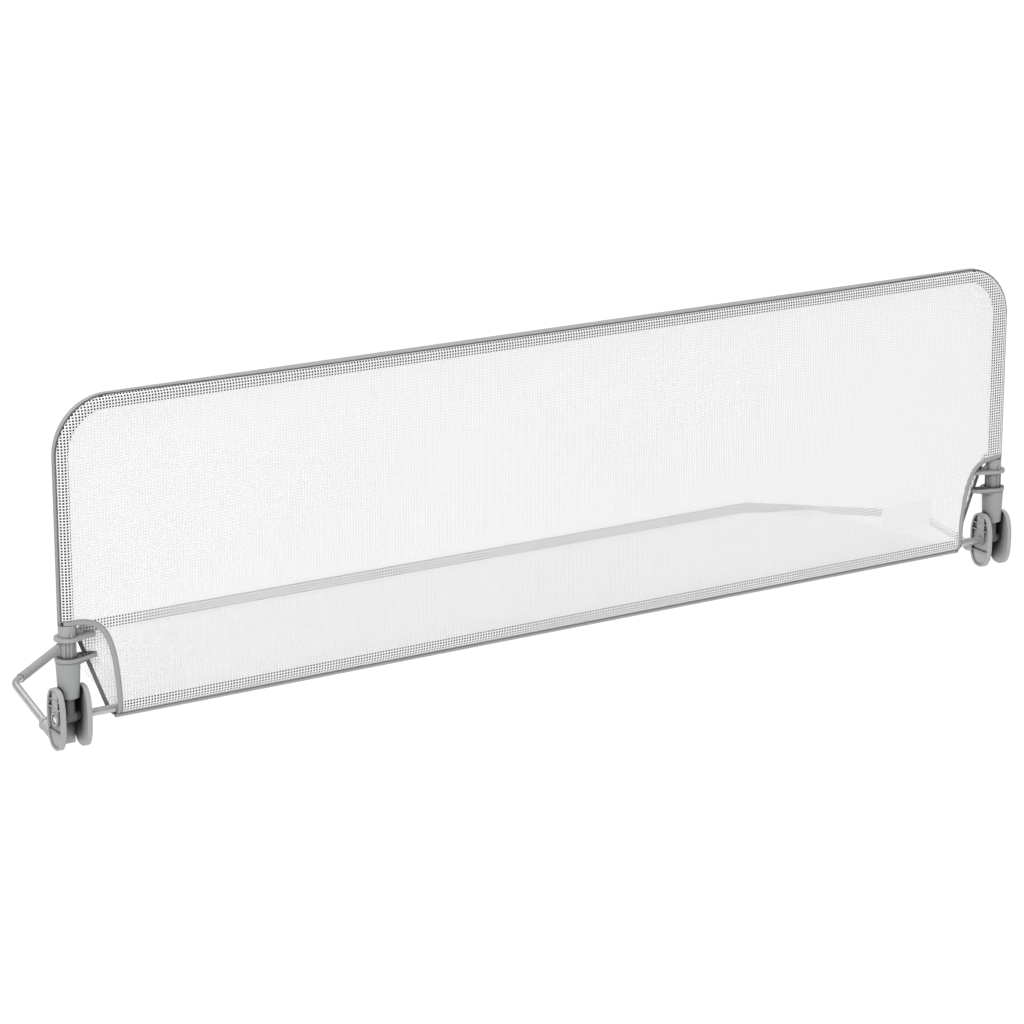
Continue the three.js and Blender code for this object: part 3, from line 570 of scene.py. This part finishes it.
def thinned(points):
    """The points of a strand that keep it within SLACK of its own line."""
    keep = np.zeros(len(points), bool)
    keep[[0, -1]] = True
    spans = [(0, len(points) - 1)]
    while spans:
        first, last = spans.pop()
        if last - first < 2:
            continue
        chord = points[last] - points[first]
        length = max(np.linalg.norm(chord), 1e-9)
        off = np.linalg.norm(np.cross(points[first + 1:last] - points[first], chord / length), axis=1)
        worst = int(off.argmax())
        if off[worst] > SLACK:
            middle = first + 1 + worst
            keep[middle] = True
            spans += [(first, middle), (middle, last)]
    return np.flatnonzero(keep)


def strands(name, mapping, lines, inside, body, replaced):
    """Cloth of flat yarns, each a closed bar that follows the mapped surface."""
    points, faces, count = [], [], 0
    flats, breaks, widths, lifts = [], [0], [], []
    for line, wide, lift in lines:
        ok = inside(line)
        for run in np.split(np.arange(len(line)), np.flatnonzero(~ok)):
            run = run[ok[run]]
            if len(run) < 4:
                continue
            flats.append(line[run])
            breaks.append(breaks[-1] + len(run))
            widths.append(wide)
            lifts.append(lift)
    flat = np.vstack(flats)
    placed, normals = mapping(flat), surface_normals(mapping, flat)
    for first, last, wide, lift in zip(breaks[:-1], breaks[1:], widths, lifts):
        line, up = placed[first:last], normals[first:last]
        chosen = thinned(line)
        chosen = chosen[np.append(True, np.linalg.norm(np.diff(line[chosen], axis=0), axis=1) > 1e-5)]
        if len(chosen) < 2:
            continue
        line, up = line[chosen] + up[chosen] * lift, up[chosen]
        across = np.cross(np.gradient(line, axis=0), up)
        length = np.linalg.norm(across, axis=1)
        firm = length > 1e-6
        if firm.sum() < 2:
            continue
        line, up = line[firm], up[firm]
        across = across[firm] / length[firm][:, None] * wide / 2
        thick = up * YARN_THICK / 2
        edges = [line + across - thick, line + across + thick, line - across + thick, line - across - thick]
        points.append(np.stack(edges, axis=1).reshape(-1, 3))
        steps = len(line)
        base = count + 4 * np.arange(steps - 1)[:, None]
        for k in range(4):
            nxt = (k + 1) % 4
            faces.append(np.hstack([base + k, base + nxt, base + 4 + nxt, base + 4 + k]))
        faces.append(np.array([[count + 3, count + 2, count + 1, count]]))
        end = count + 4 * (steps - 1)
        faces.append(np.array([[end, end + 1, end + 2, end + 3]]))
        count += 4 * steps
    piece = new_piece(name, np.vstack(points), np.vstack(faces), YARN, body, smooth=False)
    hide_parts(replaced)
    return piece


def grid(width, low, high, rows_pitch, columns_wide, rows_wide, behind=0.0):
    """Lines of a weave between two heights: upright yarns first, then the rows that cross them.

    A cloth that hangs behind the front wall is laid so that its yarns fall almost behind the
    front's for an eye at EYE, as the photo shows them: it's drawn out a little, its rows lie
    lower, and all its yarns stand aside by BESIDE.
    """
    stretch = 1 + behind / (FOLD_Y - SHEET - EYE[1])
    drop = (EYE[2] - FOLD_Z) * (stretch - 1)
    aside = BESIDE if behind else 0.0
    lines = []
    columns = np.arange(-math.ceil(width / PITCH_X) - 4, math.ceil(width / PITCH_X) + 1) * PITCH_X
    columns = EYE[0] + (columns - EYE[0]) * stretch + aside
    upright = np.arange(low, high, SAMPLE)
    for x in columns[np.abs(columns) < width]:
        lines.append((np.column_stack([np.full(len(upright), x), upright]), columns_wide, YARN_LIFT))
    level = np.arange(-width, width, SAMPLE)
    rows = np.arange(low, high + 2 * drop, rows_pitch) * stretch - drop - aside
    for z in rows[rows >= low - 1e-6]:
        lines.append((np.column_stack([level, np.full(len(level), z)]), rows_wide, -YARN_LIFT))
    return lines


def arch_points():
    t = np.linspace(0, 1, 60)[:, None]
    a = np.array([CUT_SIDE, ARCH_HEIGHT])
    b = np.array([ARCH_SHOULDER, ARCH_HEIGHT])
    c = np.array([ARCH_KNEE, ARCH_HEIGHT])
    d = np.array([ARCH_SIDE, 0.0])
    return a * (1 - t) ** 3 + 3 * b * t * (1 - t) ** 2 + 3 * c * t * t * (1 - t) + d * t ** 3


ARCH = arch_points()
BACK_CUT = rounded([
    (CUT_SIDE, ARCH_HEIGHT, 0),
    (BACK_CUT_TOP, ARCH_HEIGHT, BACK_CUT_BEND),
    (BACK_CUT_FOOT, BACK_CUT_END, 0),
])
WALL_FOOT = HEM_TURN - HEM_LENGTH[-1]


def inside_cut(cut):
    """Test for the flat cloth of a wall: between its cuts, and no further round the hoop than it goes."""
    order = np.argsort(cut[:, 1])

    def test(flat):
        edge = np.interp(flat[:, 1], cut[order, 1], cut[order, 0])
        beside = (flat[:, 1] > ARCH_HEIGHT) | (np.abs(flat[:, 0]) < edge)
        distance, _, _ = hoop_edge.nearest(flat)
        return beside & (distance < SHEET * WALL_WRAP) & (flat[:, 1] > WALL_FOOT)

    return test


def inside_floor(flat):
    """Test for the flat floor cloth: inside the tube, and inside its free sides in front of the seams."""
    free_side = np.interp(flat[:, 1], [FLOOR_FRONT, SIDE_SEAM_Y], [FLOOR_FRONT_HALF, SIDE_SEAM_X])
    distance, _, _ = base_edge.nearest(flat)
    tucked = distance < -BASE_TUBE * 0.9
    return tucked & ((flat[:, 1] > SIDE_SEAM_Y) | (np.abs(flat[:, 0]) < free_side))


front_lines = grid(WALL_HALF, WALL_FOOT, WALL_TOP, PITCH_Z, YARN_WIDE_X, YARN_WIDE_Z)
back_lines = grid(WALL_HALF, WALL_FOOT, WALL_TOP, PITCH_Z, YARN_WIDE_X, YARN_WIDE_Z, 2 * SHEET)
front_cloth = strands(
    "front_mesh_cloth", wall(-1), front_lines, inside_cut(ARCH), "rail", "front_mesh")
back_cloth = strands(
    "back_mesh_cloth", wall(1), back_lines, inside_cut(BACK_CUT), "rail", "back_mesh")
# The floor's front edge stays clear of the hem, which turns round the rod as the rail folds
floor_lines = grid(
    FLOOR_HALF, FLOOR_FRONT + YARN_WIDE_X / 2, FLOOR_BACK, PITCH_X, YARN_WIDE_X, YARN_WIDE_X)
floor_cloth = strands("floor_mesh_cloth", floor, floor_lines, inside_floor, "base", "floor_mesh")


# Tapes: a closed section swept along a line, with a map in metres for the weave


def sweep(name, centres, sections, material, body, loop_length):
    """sections holds one ring of points for each centre; loop_length is the way round a ring."""
    rings, sides = len(sections), len(sections[0])
    points = np.vstack(sections)
    along = np.append(0, np.cumsum(np.linalg.norm(np.diff(centres, axis=0), axis=1)))
    around = np.arange(sides) * loop_length / sides
    flat_map = np.column_stack([np.repeat(along, sides), np.tile(around, rings)])
    faces = []
    for i in range(rings - 1):
        for k in range(sides):
            nxt = (k + 1) % sides
            faces.append((i * sides + k, i * sides + nxt, (i + 1) * sides + nxt, (i + 1) * sides + k))
    faces.append(tuple(range(sides - 1, -1, -1)))
    faces.append(tuple((rings - 1) * sides + k for k in range(sides)))
    return new_piece(name, points, faces, material, body, flat_map)


def resampled(line, step):
    length = np.append(0, np.cumsum(np.linalg.norm(np.diff(line, axis=0), axis=1)))
    places = np.linspace(0, length[-1], max(2, int(length[-1] / step)))
    return np.column_stack([np.interp(places, length, line[:, k]) for k in range(line.shape[1])])


def binding_edge(x):
    """Angle of the tape's front edge: it comes less far round to the front near the ends."""
    at_ends, more_in_middle, reach = 30, 18, 0.35
    return -math.radians(at_ends + more_in_middle * eased((HINGE_X - abs(x)) / reach))


def binding():
    """Tape over the outside of the hoop, from its front edge to BINDING_BACK, with rolled edges."""
    path = resampled(rounded([
        (-HINGE_X, BINDING_FOOT, 0),
        (-HINGE_X, HOOP_TOP, HOOP_CORNER),
        (HINGE_X, HOOP_TOP, HOOP_CORNER),
        (HINGE_X, BINDING_FOOT, 0),
    ]), 0.006)
    _, _, normals = hoop_edge.nearest(path)
    shares = np.linspace(0, 1, 17)
    roll_height, roll_place, roll_wide = 0.00025, 0.45, 0.03
    roll = roll_height * np.exp(-((np.abs(shares - 0.5) - roll_place) / roll_wide) ** 2)
    sections, centres = [], []
    for (x, z), (nx, nz) in zip(path, normals):
        angles = binding_edge(x) + (BINDING_BACK - binding_edge(x)) * shares
        profile = [(BINDING_OUT + r, a) for r, a in zip(roll, angles)]
        profile += [(BINDING_IN, a) for a in angles[::-1]]
        sections.append(np.array([
            (x + nx * r * math.cos(a), FOLD_Y + r * math.sin(a), FOLD_Z + z + nz * r * math.cos(a))
            for r, a in profile
        ]))
        centres.append((x, FOLD_Y, FOLD_Z + z))
    piece = sweep("rail_binding_tape", np.array(centres), sections, BINDING, "rail", 0.024)
    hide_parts("rail_binding")
    return path, normals


def stitches(name, places, ups, body):
    """A row of short threads that stand just proud of a line on the cloth."""
    line = resampled(np.hstack([places, ups]), STITCH_PITCH)
    points, faces = [], []
    for i in range(len(line) - 1):
        a, b = line[i, :3], line[i + 1, :3]
        up = line[i, 3:] / np.linalg.norm(line[i, 3:])
        run = (b - a) / np.linalg.norm(b - a)
        across, rise = np.cross(run, up) * STITCH_THICK, up * STITCH_THICK
        narrow = across * 0.4
        middle = (a + b) / 2
        f = len(points)
        for end in (middle - run * STITCH_LENGTH / 2, middle + run * STITCH_LENGTH / 2):
            points += [end - across, end + across, end + narrow + rise, end - narrow + rise]
        faces += [(f, f + 1, f + 2, f + 3), (f + 7, f + 6, f + 5, f + 4)]
        for k in range(4):
            n = (k + 1) % 4
            faces.append((f + k, f + 4 + k, f + 4 + n, f + n))
    return new_piece(name, np.array(points), faces, THREAD, body)


def leaf_height(share, height):
    """Height of a folded tape over its cloth: full on the flat, and round towards the fold."""
    round_from = 0.6
    bent = max(0.0, share - round_from) / (1 - round_from)
    return height * math.sqrt(max(0.0, 1 - bent ** 2))


def ribbon(node, side, line, wide, cloth, flip):
    """A tape folded over a cut edge: it follows the cloth, in front of it and behind."""
    mapping = wall(side)
    line = resampled(line, 0.003) * [flip, 1]
    step = np.gradient(line, axis=0)
    step /= np.linalg.norm(step, axis=1)[:, None]
    normal = np.column_stack([-step[:, 1], step[:, 0]])
    shares = np.array([-1, -0.4, 0.2, 0.7, 0.92, 1])
    lift, leaf, back_from_fold, seam_place = 0.00085, 0.00035, 0.07, 0.30
    outer = [(a, leaf_height(a, lift)) for a in shares]
    inner = [(a - back_from_fold, leaf_height(a, lift - leaf)) for a in shares]
    profile = outer + [(a, -h) for a, h in outer[-2::-1]]
    profile += [(a, -h) for a, h in inner] + inner[-2::-1]
    rows = []
    for across, height in profile:
        flat = line + normal * (across * wide / 2)
        rows.append(mapping(flat) + surface_normals(mapping, flat) * height)
    rows = np.stack(rows, axis=1)
    centre = mapping(line)
    piece = sweep(f"{node}_cloth", centre, list(rows), cloth, "rail", 2 * wide)
    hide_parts(node)
    seam = line + normal * wide * seam_place
    up = surface_normals(mapping, seam)
    outward = up * np.sign((up[:, 1] * side).mean() or 1)
    stitches(f"{node}_cloth_stitches", mapping(seam) + outward * (lift + 0.00001), outward, "rail")


def cut_line(cut):
    """The part of a cut that its tape covers, drawn down to the hem."""
    line = cut[cut[:, 0] <= HINGE_X + SHEET * CUT_TAPE_WRAP]
    return np.vstack([line, [line[-1, 0], CUT_TAPE_FOOT]])


binding_path, binding_normals = binding()
for flip, hand in ((-1, "left"), (1, "right")):
    ribbon(f"arch_tape_{hand}", -1, cut_line(ARCH), 0.0070, TAPE, flip)
    ribbon(f"corner_tape_{hand}", 1, cut_line(BACK_CUT), 0.0050, REAR_TAPE_SHADED, flip)


def binding_stitches(side, hand):
    """The seam along one edge of the binding; side is -1 in front and 1 behind."""
    radius = BINDING_OUT + 0.0001
    places, ups = [], []
    for (x, z), (nx, nz) in zip(binding_path, binding_normals):
        angle = (BINDING_BACK if side > 0 else -binding_edge(x)) - STITCH_INSET
        up = np.array([nx * math.cos(angle), side * math.sin(angle), nz * math.cos(angle)])
        places.append(np.array([x, FOLD_Y, FOLD_Z + z]) + up * radius)
        ups.append(up)
    stitches(f"rail_binding_stitches_{hand}", np.array(places), np.array(ups), "rail")


binding_stitches(-1, "front")
binding_stitches(1, "back")


def hem():
    """Tape folded under the lower edge of both walls."""
    half, wide, bulge, round_off = 0.6675, 0.0024, 0.0001, 0.0007
    leaf, sole = 0.0006, 0.001
    top, foot = -HEM_DROP + 0.005, -HEM_DROP
    outside = [(wide - round_off, foot), (wide, foot + leaf), (wide + bulge, (top + foot) / 2), (wide, top)]
    inside = [(wide - leaf, top), (wide - leaf, foot + sole)]
    profile = [(-y, z) for y, z in outside[::-1]] + outside + inside + [(-y, z) for y, z in inside[::-1]]
    xs = np.linspace(-half, half, 260)
    sections = [np.array([(x, FOLD_Y + y, FOLD_Z + z) for y, z in profile]) for x in xs]
    centres = np.array([(x, FOLD_Y, FOLD_Z + foot) for x in xs])
    piece = sweep("hem_tape_cloth", centres, sections, TAPE, "rail", 0.015)
    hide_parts("hem_tape")
    for side, hand in ((-1, "front"), (1, "back")):
        line = np.array([(x, FOLD_Y + side * (wide + 0.00012), FOLD_Z + top - 0.0012) for x in xs])
        stitches(f"hem_stitches_{hand}", line, np.tile([0.0, side, 0.0], (len(xs), 1)), "rail")


hem()


# Round tubes, drawn finer than the solids, along the same lines


def bend_points(corners):
    """Points and directions of a line in space; a corner is (x, y, z, radius)."""
    points = []
    for i, (*xyz, radius) in enumerate(corners):
        here = Vector(xyz)
        if i in (0, len(corners) - 1) or radius == 0:
            points.append(here)
            continue
        inward = (here - Vector(corners[i - 1][:3])).normalized()
        outward = (Vector(corners[i + 1][:3]) - here).normalized()
        turn = inward.angle(outward)
        start = here - inward * radius * math.tan(turn / 2)
        side = (outward - inward * outward.dot(inward)).normalized()
        centre = start + side * radius
        for step in range(TUBE_BEND_STEPS + 1):
            angle = turn * step / TUBE_BEND_STEPS
            points.append(centre + inward * radius * math.sin(angle) - side * radius * math.cos(angle))
    return points


def tube_rings(points, radius, sides):
    rings, normal = [], None
    angles = [2 * math.pi * k / sides for k in range(sides)]
    for i, p in enumerate(points):
        run = (points[min(i + 1, len(points) - 1)] - points[max(i - 1, 0)]).normalized()
        if normal is None:
            normal = run.orthogonal().normalized()
        normal = (normal - run * normal.dot(run)).normalized()
        side = run.cross(normal)
        rings.append([p + normal * radius * math.cos(a) + side * radius * math.sin(a) for a in angles])
    return rings


def hollow_tube(name, points, radius, wall_thick, material, body, nodes, sides=36):
    outer = tube_rings(points, radius, sides)
    inner = tube_rings(points, radius - wall_thick, sides)
    verts = [v for ring in outer + inner for v in ring]
    count, faces = len(points), []
    for i in range(count - 1):
        for k in range(sides):
            n = (k + 1) % sides
            a, b, c, d = i * sides + k, i * sides + n, (i + 1) * sides + n, (i + 1) * sides + k
            shift = count * sides
            faces += [(a, b, c, d), (d + shift, c + shift, b + shift, a + shift)]
    for i, turned in ((0, False), (count - 1, True)):
        for k in range(sides):
            n = (k + 1) % sides
            quad = (i * sides + n, i * sides + k, (count + i) * sides + k, (count + i) * sides + n)
            faces.append(quad[::-1] if turned else quad)
    length = [0.0]
    for a, b in zip(points[:-1], points[1:]):
        length.append(length[-1] + (b - a).length)
    around = [2 * math.pi * radius * k / sides for k in range(sides)]
    flat_map = [(along, arc) for along in length * 2 for arc in around]
    piece = new_piece(name, verts, faces, material, body, flat_map)
    piece.data.set_sharp_from_angle(angle=math.radians(50))
    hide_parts(*nodes)
    return piece


def in_frame(corners):
    return [(x, FOLD_Y + y, FOLD_Z + z, r) for x, y, z, r in corners]


def straight_parts(points, step):
    """Adds points on long straight stretches, so that a weave or a crease has room."""
    out = [points[0]]
    for a, b in zip(points[:-1], points[1:]):
        n = max(1, round((b - a).length / step))
        out += [a.lerp(b, (k + 1) / n) for k in range(n)]
    return out


def leg_point(y):
    """Place of the base tube's axis on its way from the bend down into the right socket."""
    bend = LEG_BEND[0] - HINGE_X
    share = (LEG_BEND[1] - y) / (LEG_BEND[1] - SOCKET_MOUTH)
    x = bend + (SOCKET_X - bend) * share
    return HINGE_X + x, y, BASE_Z - LEG_SLOPE * (LEG_BEND[1] - y)


end_x, end_y, end_z = leg_point(SOCKET_STOP + SOCKET_PLAY)
hollow_tube("base_frame_tube_finish", bend_points(in_frame([
    (-end_x, end_y, end_z, 0),
    (-LEG_BEND[0], LEG_BEND[1], BASE_Z, LEG_BEND_RADIUS),
    (-BACK_CORNER[0], BACK_CORNER[1], BASE_Z, BACK_RADIUS),
    (BACK_CORNER[0], BACK_CORNER[1], BASE_Z, BACK_RADIUS),
    (LEG_BEND[0], LEG_BEND[1], BASE_Z, LEG_BEND_RADIUS),
    (end_x, end_y, end_z, 0),
])), BASE_TUBE, BASE_WALL, TUBE, "base", ["base_frame_tube"])
hollow_tube("rail_tube_finish", bend_points(in_frame([
    (-HINGE_X, 0, HOOP_FOOT, 0),
    (-HINGE_X, 0, HOOP_TOP, HOOP_CORNER),
    (HINGE_X, 0, HOOP_TOP, HOOP_CORNER),
    (HINGE_X, 0, HOOP_FOOT, 0),
])), HOOP_TUBE, HOOP_WALL, HOOP_SHADED, "rail", ["rail_tube"])
rod_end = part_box("front_rod")[1].x
hollow_tube("front_rod_finish", bend_points(in_frame([(-rod_end, 0, 0, 0), (rod_end, 0, 0, 0)])),
            BASE_TUBE, ROD_WALL, ROD, "base", ["front_rod"])


def sleeve(hand, sign):
    """Grey cloth sleeve on the slanting tube, a little slack and creased."""
    past_bend, short_of_seam, crease_depth, crease_turn = 0.020, 0.006, 0.00022, 260
    a = Vector((LEG_BEND[0], LEG_BEND[1], BASE_Z))
    b = Vector((BACK_CORNER[0], BACK_CORNER[1], BASE_Z))
    run = (b - a).length
    start, end = a.lerp(b, past_bend / run), a.lerp(b, FLOOR_SIDE_SHARE - short_of_seam / run)
    points = straight_parts([start, end], 0.002)
    points = [Vector((sign * p.x, FOLD_Y + p.y, FOLD_Z + p.z)) for p in points]
    piece = hollow_tube(f"side_sleeve_{hand}_cloth", points, SLEEVE_OUT, SLEEVE_THICK, SLEEVE, "base",
                        [f"side_sleeve_{hand}"], SLEEVE_SIDES)
    centre_a, centre_b = points[0], points[-1]
    axis = (centre_b - centre_a).normalized()
    for v in piece.data.vertices:
        along = (v.co - centre_a).dot(axis)
        middle = centre_a + axis * along
        out = v.co - middle
        angle = math.atan2(out.z, out.dot(axis.cross(Vector((0, 0, 1)))))
        wave = math.sin(along * crease_turn + 2 * math.sin(angle)) * math.sin(angle + 0.6)
        v.co = middle + out * (1 + wave * crease_depth / out.length)
    length = (centre_b - centre_a).length


sleeve("left", -1)
sleeve("right", 1)


def slack_sleeve(name, points, slack):
    """Cloth sleeve that hangs a little below its tube, near-black partly as painted shade under the mesh;
    the rear one carries the floor mesh.
    """
    narrowest, full_slack = 0.45, 0.004
    piece = hollow_tube(name, points, SLEEVE_OUT, SLEEVE_THICK, SLEEVE_SHADED, "base",
                        ["floor_mesh"], SLEEVE_SIDES)
    height = points[0].z
    run = np.append(0, np.cumsum([(b - a).length for a, b in zip(points[:-1], points[1:])]))
    for i, v in enumerate(piece.data.vertices):
        ring = (i // SLEEVE_SIDES) % len(points)
        along, middle = run[ring], points[ring]
        low = max(0.0, (height - v.co.z) / SLEEVE_OUT)
        uneven = 1 + 0.10 * math.sin(along * 31) + 0.07 * math.sin(along * 83 + 1)
        v.co.z -= low * slack * uneven
        narrow = 1 - narrowest * low * low * min(1.0, slack / full_slack)
        v.co.x = middle.x + (v.co.x - middle.x) * narrow
        v.co.y = middle.y + (v.co.y - middle.y) * narrow


rear_path = bend_points(in_frame([
    (-SIDE_SEAM_X, SIDE_SEAM_Y, BASE_Z, 0),
    (-BACK_CORNER[0], BACK_CORNER[1], BASE_Z, BACK_RADIUS),
    (BACK_CORNER[0], BACK_CORNER[1], BASE_Z, BACK_RADIUS),
    (SIDE_SEAM_X, SIDE_SEAM_Y, BASE_Z, 0),
]))
slack_sleeve("rear_tube_sleeve_cloth", straight_parts(rear_path, 0.008), REAR_SLACK)
rod_path = [Vector((x, FOLD_Y, FOLD_Z)) for x in np.linspace(-FLOOR_FRONT_HALF, FLOOR_FRONT_HALF, 160)]
slack_sleeve("front_rod_sleeve_cloth", rod_path, FRONT_SLACK)


def patch():
    """The place of the printed label: a plain cloth patch, sewn on and left blank."""
    low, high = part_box("label_patch")
    across, up, radius, lift, thick = 42, 18, 0.003, 0.0004, 0.0004
    y_face = FOLD_Y - SHEET - lift
    points, flat_map, faces = [], [], []
    for layer in (0, 1):
        for j in range(up + 1):
            for i in range(across + 1):
                x = low.x + (high.x - low.x) * i / across
                z = low.z + (high.z - low.z) * j / up
                dx = max(low.x + radius - x, x - high.x + radius, 0)
                dz = max(low.z + radius - z, z - high.z + radius, 0)
                far = math.hypot(dx, dz)
                if far > radius:
                    x += math.copysign(dx * (1 - radius / far), (low.x + high.x) / 2 - x)
                    z += math.copysign(dz * (1 - radius / far), (low.z + high.z) / 2 - z)
                points.append((x, y_face - layer * thick, z))
                flat_map.append((x, z))
    size = (across + 1) * (up + 1)
    for j in range(up):
        for i in range(across):
            a = j * (across + 1) + i
            quad = (a, a + 1, a + across + 2, a + across + 1)
            faces += [quad[::-1], tuple(k + size for k in quad)]
    rim = list(range(across + 1))
    rim += [(j + 1) * (across + 1) + across for j in range(up)]
    rim += [up * (across + 1) + i for i in range(across - 1, -1, -1)]
    rim += [j * (across + 1) for j in range(up - 1, 0, -1)]
    for a, b in zip(rim, rim[1:] + rim[:1]):
        faces.append((a, b, b + size, a + size))
    piece = new_piece(
        "label_patch_blank", points, faces, PATCH, "rail", flat_map, smooth=False)
    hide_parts("label_patch")


patch()


# Moulded and turned pieces: the solids' own shapes with rounded edges and smooth faces


def thin_tab(work):
    """The photo shows the finger tab about as thin as its rim, so its underside is raised."""
    for v in work.verts:
        along = HINGE_X - abs(v.co.x)
        if along > TAB_START and abs(v.co.z - TAB_STEP) < TAB_NEAR:
            v.co.z = TAB_UNDER


def refined(node, material, width):
    """The solid of a node with its edges rounded by a width; the springs are baked in place and put on no
    body.
    """
    source = frame["nodes"][node]
    mesh = source.data.copy()
    work = bmesh.new()
    work.from_mesh(mesh)
    if node.startswith("release_collar"):
        thin_tab(work)
    bmesh.ops.remove_doubles(work, verts=work.verts, dist=1e-6)
    bmesh.ops.dissolve_limit(work, angle_limit=math.radians(1), verts=work.verts, edges=work.edges)
    sharp = [e for e in work.edges if len(e.link_faces) == 2 and e.calc_face_angle(0) > SHARP]
    if width:
        bmesh.ops.bevel(
            work, geom=sharp, offset=width, segments=2, profile=0.6, affect="EDGES", clamp_overlap=True)
    for face in work.faces:
        face.smooth = True
    work.to_mesh(mesh)
    work.free()
    mesh.set_sharp_from_angle(angle=SHARP)
    mesh.materials.clear()
    mesh.materials.append(material)
    piece = bpy.data.objects.new(node + "_finish", mesh)
    bpy.context.scene.collection.objects.link(piece)
    if node.startswith("collar_spring"):
        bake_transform(piece)
    else:
        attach(piece, source["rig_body"])
    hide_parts(node)
    return piece


RIGID = (
    ("outer_cheek", CHEEK_PLASTIC, "moulded_grey", 0.00035),
    ("inner_cheek", CHEEK_PLASTIC, "moulded_grey", 0.00035),
    ("bracket_core", CHEEK_PLASTIC, "moulded_grey", 0.0003),
    ("post", POST_PLASTIC, "moulded_grey", 0.0003),
    ("release_collar", COLLAR_PLASTIC, "moulded_grey", 0.0003),
    ("outer_pivot_spacer", NYLON, "spacer_nylon", 0.0),
    ("inner_pivot_spacer", NYLON, "spacer_nylon", 0.0),
    ("pivot_bolt", ZINC, "zinc_steel", 0.0),
    ("socket_screw", ZINC, "zinc_steel", 0.0),
    ("post_rivet", ZINC, "zinc_steel", 0.0),
    ("collar_spring", WIRE, "spring_steel", 0.0),
)
for stem, material, slot, width in RIGID:
    for hand in ("left", "right"):
        refined(f"{stem}_{hand}", material, width)


# Floor, light and camera


def stage():
    """A white floor, low enough that the rail hangs clear of it when it's folded down."""
    floor_z = FOLD_Z - HOOP_TOP - BINDING_OUT - HANG_ROOM
    mesh = bpy.data.meshes.new("studio_floor")
    signs = ((-1, -1), (1, -1), (1, 1), (-1, 1))
    mesh.from_pydata([(x * FLOOR_REACH, y * FLOOR_REACH, floor_z) for x, y in signs], [], [(0, 1, 2, 3)])
    ground = bpy.data.objects.new("studio_floor", mesh)
    bpy.context.scene.collection.objects.link(ground)
    finish = Finish("studio_floor_white", (FLOOR_GREY,) * 3, 0.9, Specular_IOR_Level=0.0,
                    Emission_Color=(1, 1, 1, 1), Emission_Strength=FLOOR_GLOW)
    mesh.materials.append(finish.material)


def world():
    """A room that is darker towards the horizon; the camera sees plain white beyond the floor."""
    scene = bpy.context.scene
    scene.world = bpy.data.worlds.new("studio")
    scene.world.use_nodes = True
    tree = scene.world.node_tree
    tree.nodes.clear()
    output = tree.nodes.new("ShaderNodeOutputWorld")
    direction = tree.nodes.new("ShaderNodeTexCoord")
    parts = tree.nodes.new("ShaderNodeSeparateXYZ")
    level = tree.nodes.new("ShaderNodeMapRange")
    path = tree.nodes.new("ShaderNodeLightPath")
    room, backdrop = tree.nodes.new("ShaderNodeBackground"), tree.nodes.new("ShaderNodeBackground")
    for socket, value in zip(level.inputs[1:5], (0.0, 1.0, ROOM_LOW, ROOM_HIGH)):
        socket.default_value = value
    room.inputs[0].default_value = (1, 1, 1, 1)
    backdrop.inputs[0].default_value = (1, 1, 1, 1)
    backdrop.inputs[1].default_value = 1.0
    mix = tree.nodes.new("ShaderNodeMixShader")
    tree.links.new(direction.outputs["Generated"], parts.inputs[0])
    tree.links.new(parts.outputs["Z"], level.inputs[0])
    tree.links.new(level.outputs[0], room.inputs[1])
    tree.links.new(path.outputs["Is Camera Ray"], mix.inputs[0])
    tree.links.new(room.outputs[0], mix.inputs[1])
    tree.links.new(backdrop.outputs[0], mix.inputs[2])
    tree.links.new(mix.outputs[0], output.inputs["Surface"])


def sun(name, direction, strength, angle):
    data = bpy.data.lights.new(name, "SUN")
    data.energy = strength
    data.angle = math.radians(angle)
    light = bpy.data.objects.new(name, data)
    light.rotation_euler = Vector(direction).to_track_quat("-Z", "Y").to_euler()
    bpy.context.scene.collection.objects.link(light)


def lamp(name, place, target, size, power):
    data = bpy.data.lights.new(name, "AREA")
    data.size = size
    data.energy = power
    light = bpy.data.objects.new(name, data)
    light.location = place
    light.rotation_euler = (Vector(target) - Vector(place)).to_track_quat("-Z", "Y").to_euler()
    bpy.context.scene.collection.objects.link(light)


def camera():
    data = bpy.data.cameras.new("photo_view")
    data.lens = LENS
    data.sensor_width = 36.0
    data.clip_end = 200.0
    view = bpy.data.objects.new("photo_view", data)
    view.location = EYE
    level = math.cos(TILT)
    forward = Vector((math.cos(HEADING) * level, math.sin(HEADING) * level, math.sin(TILT)))
    view.rotation_euler = forward.to_track_quat("-Z", "Y").to_euler()
    bpy.context.scene.collection.objects.link(view)
    bpy.context.scene.camera = view


bpy.context.scene.view_settings.view_transform = "Standard"
stage()
world()
sun("key_light", direction=(0.45, 0.62, -0.64), strength=1.35, angle=24)
sun("top_light", direction=(0.1, -0.25, -1.0), strength=1.6, angle=60)
lamp("left_light", place=(-2.3, -2.4, 1.7), target=(-0.5, 0.0, 0.2), size=1.2, power=13)
camera()
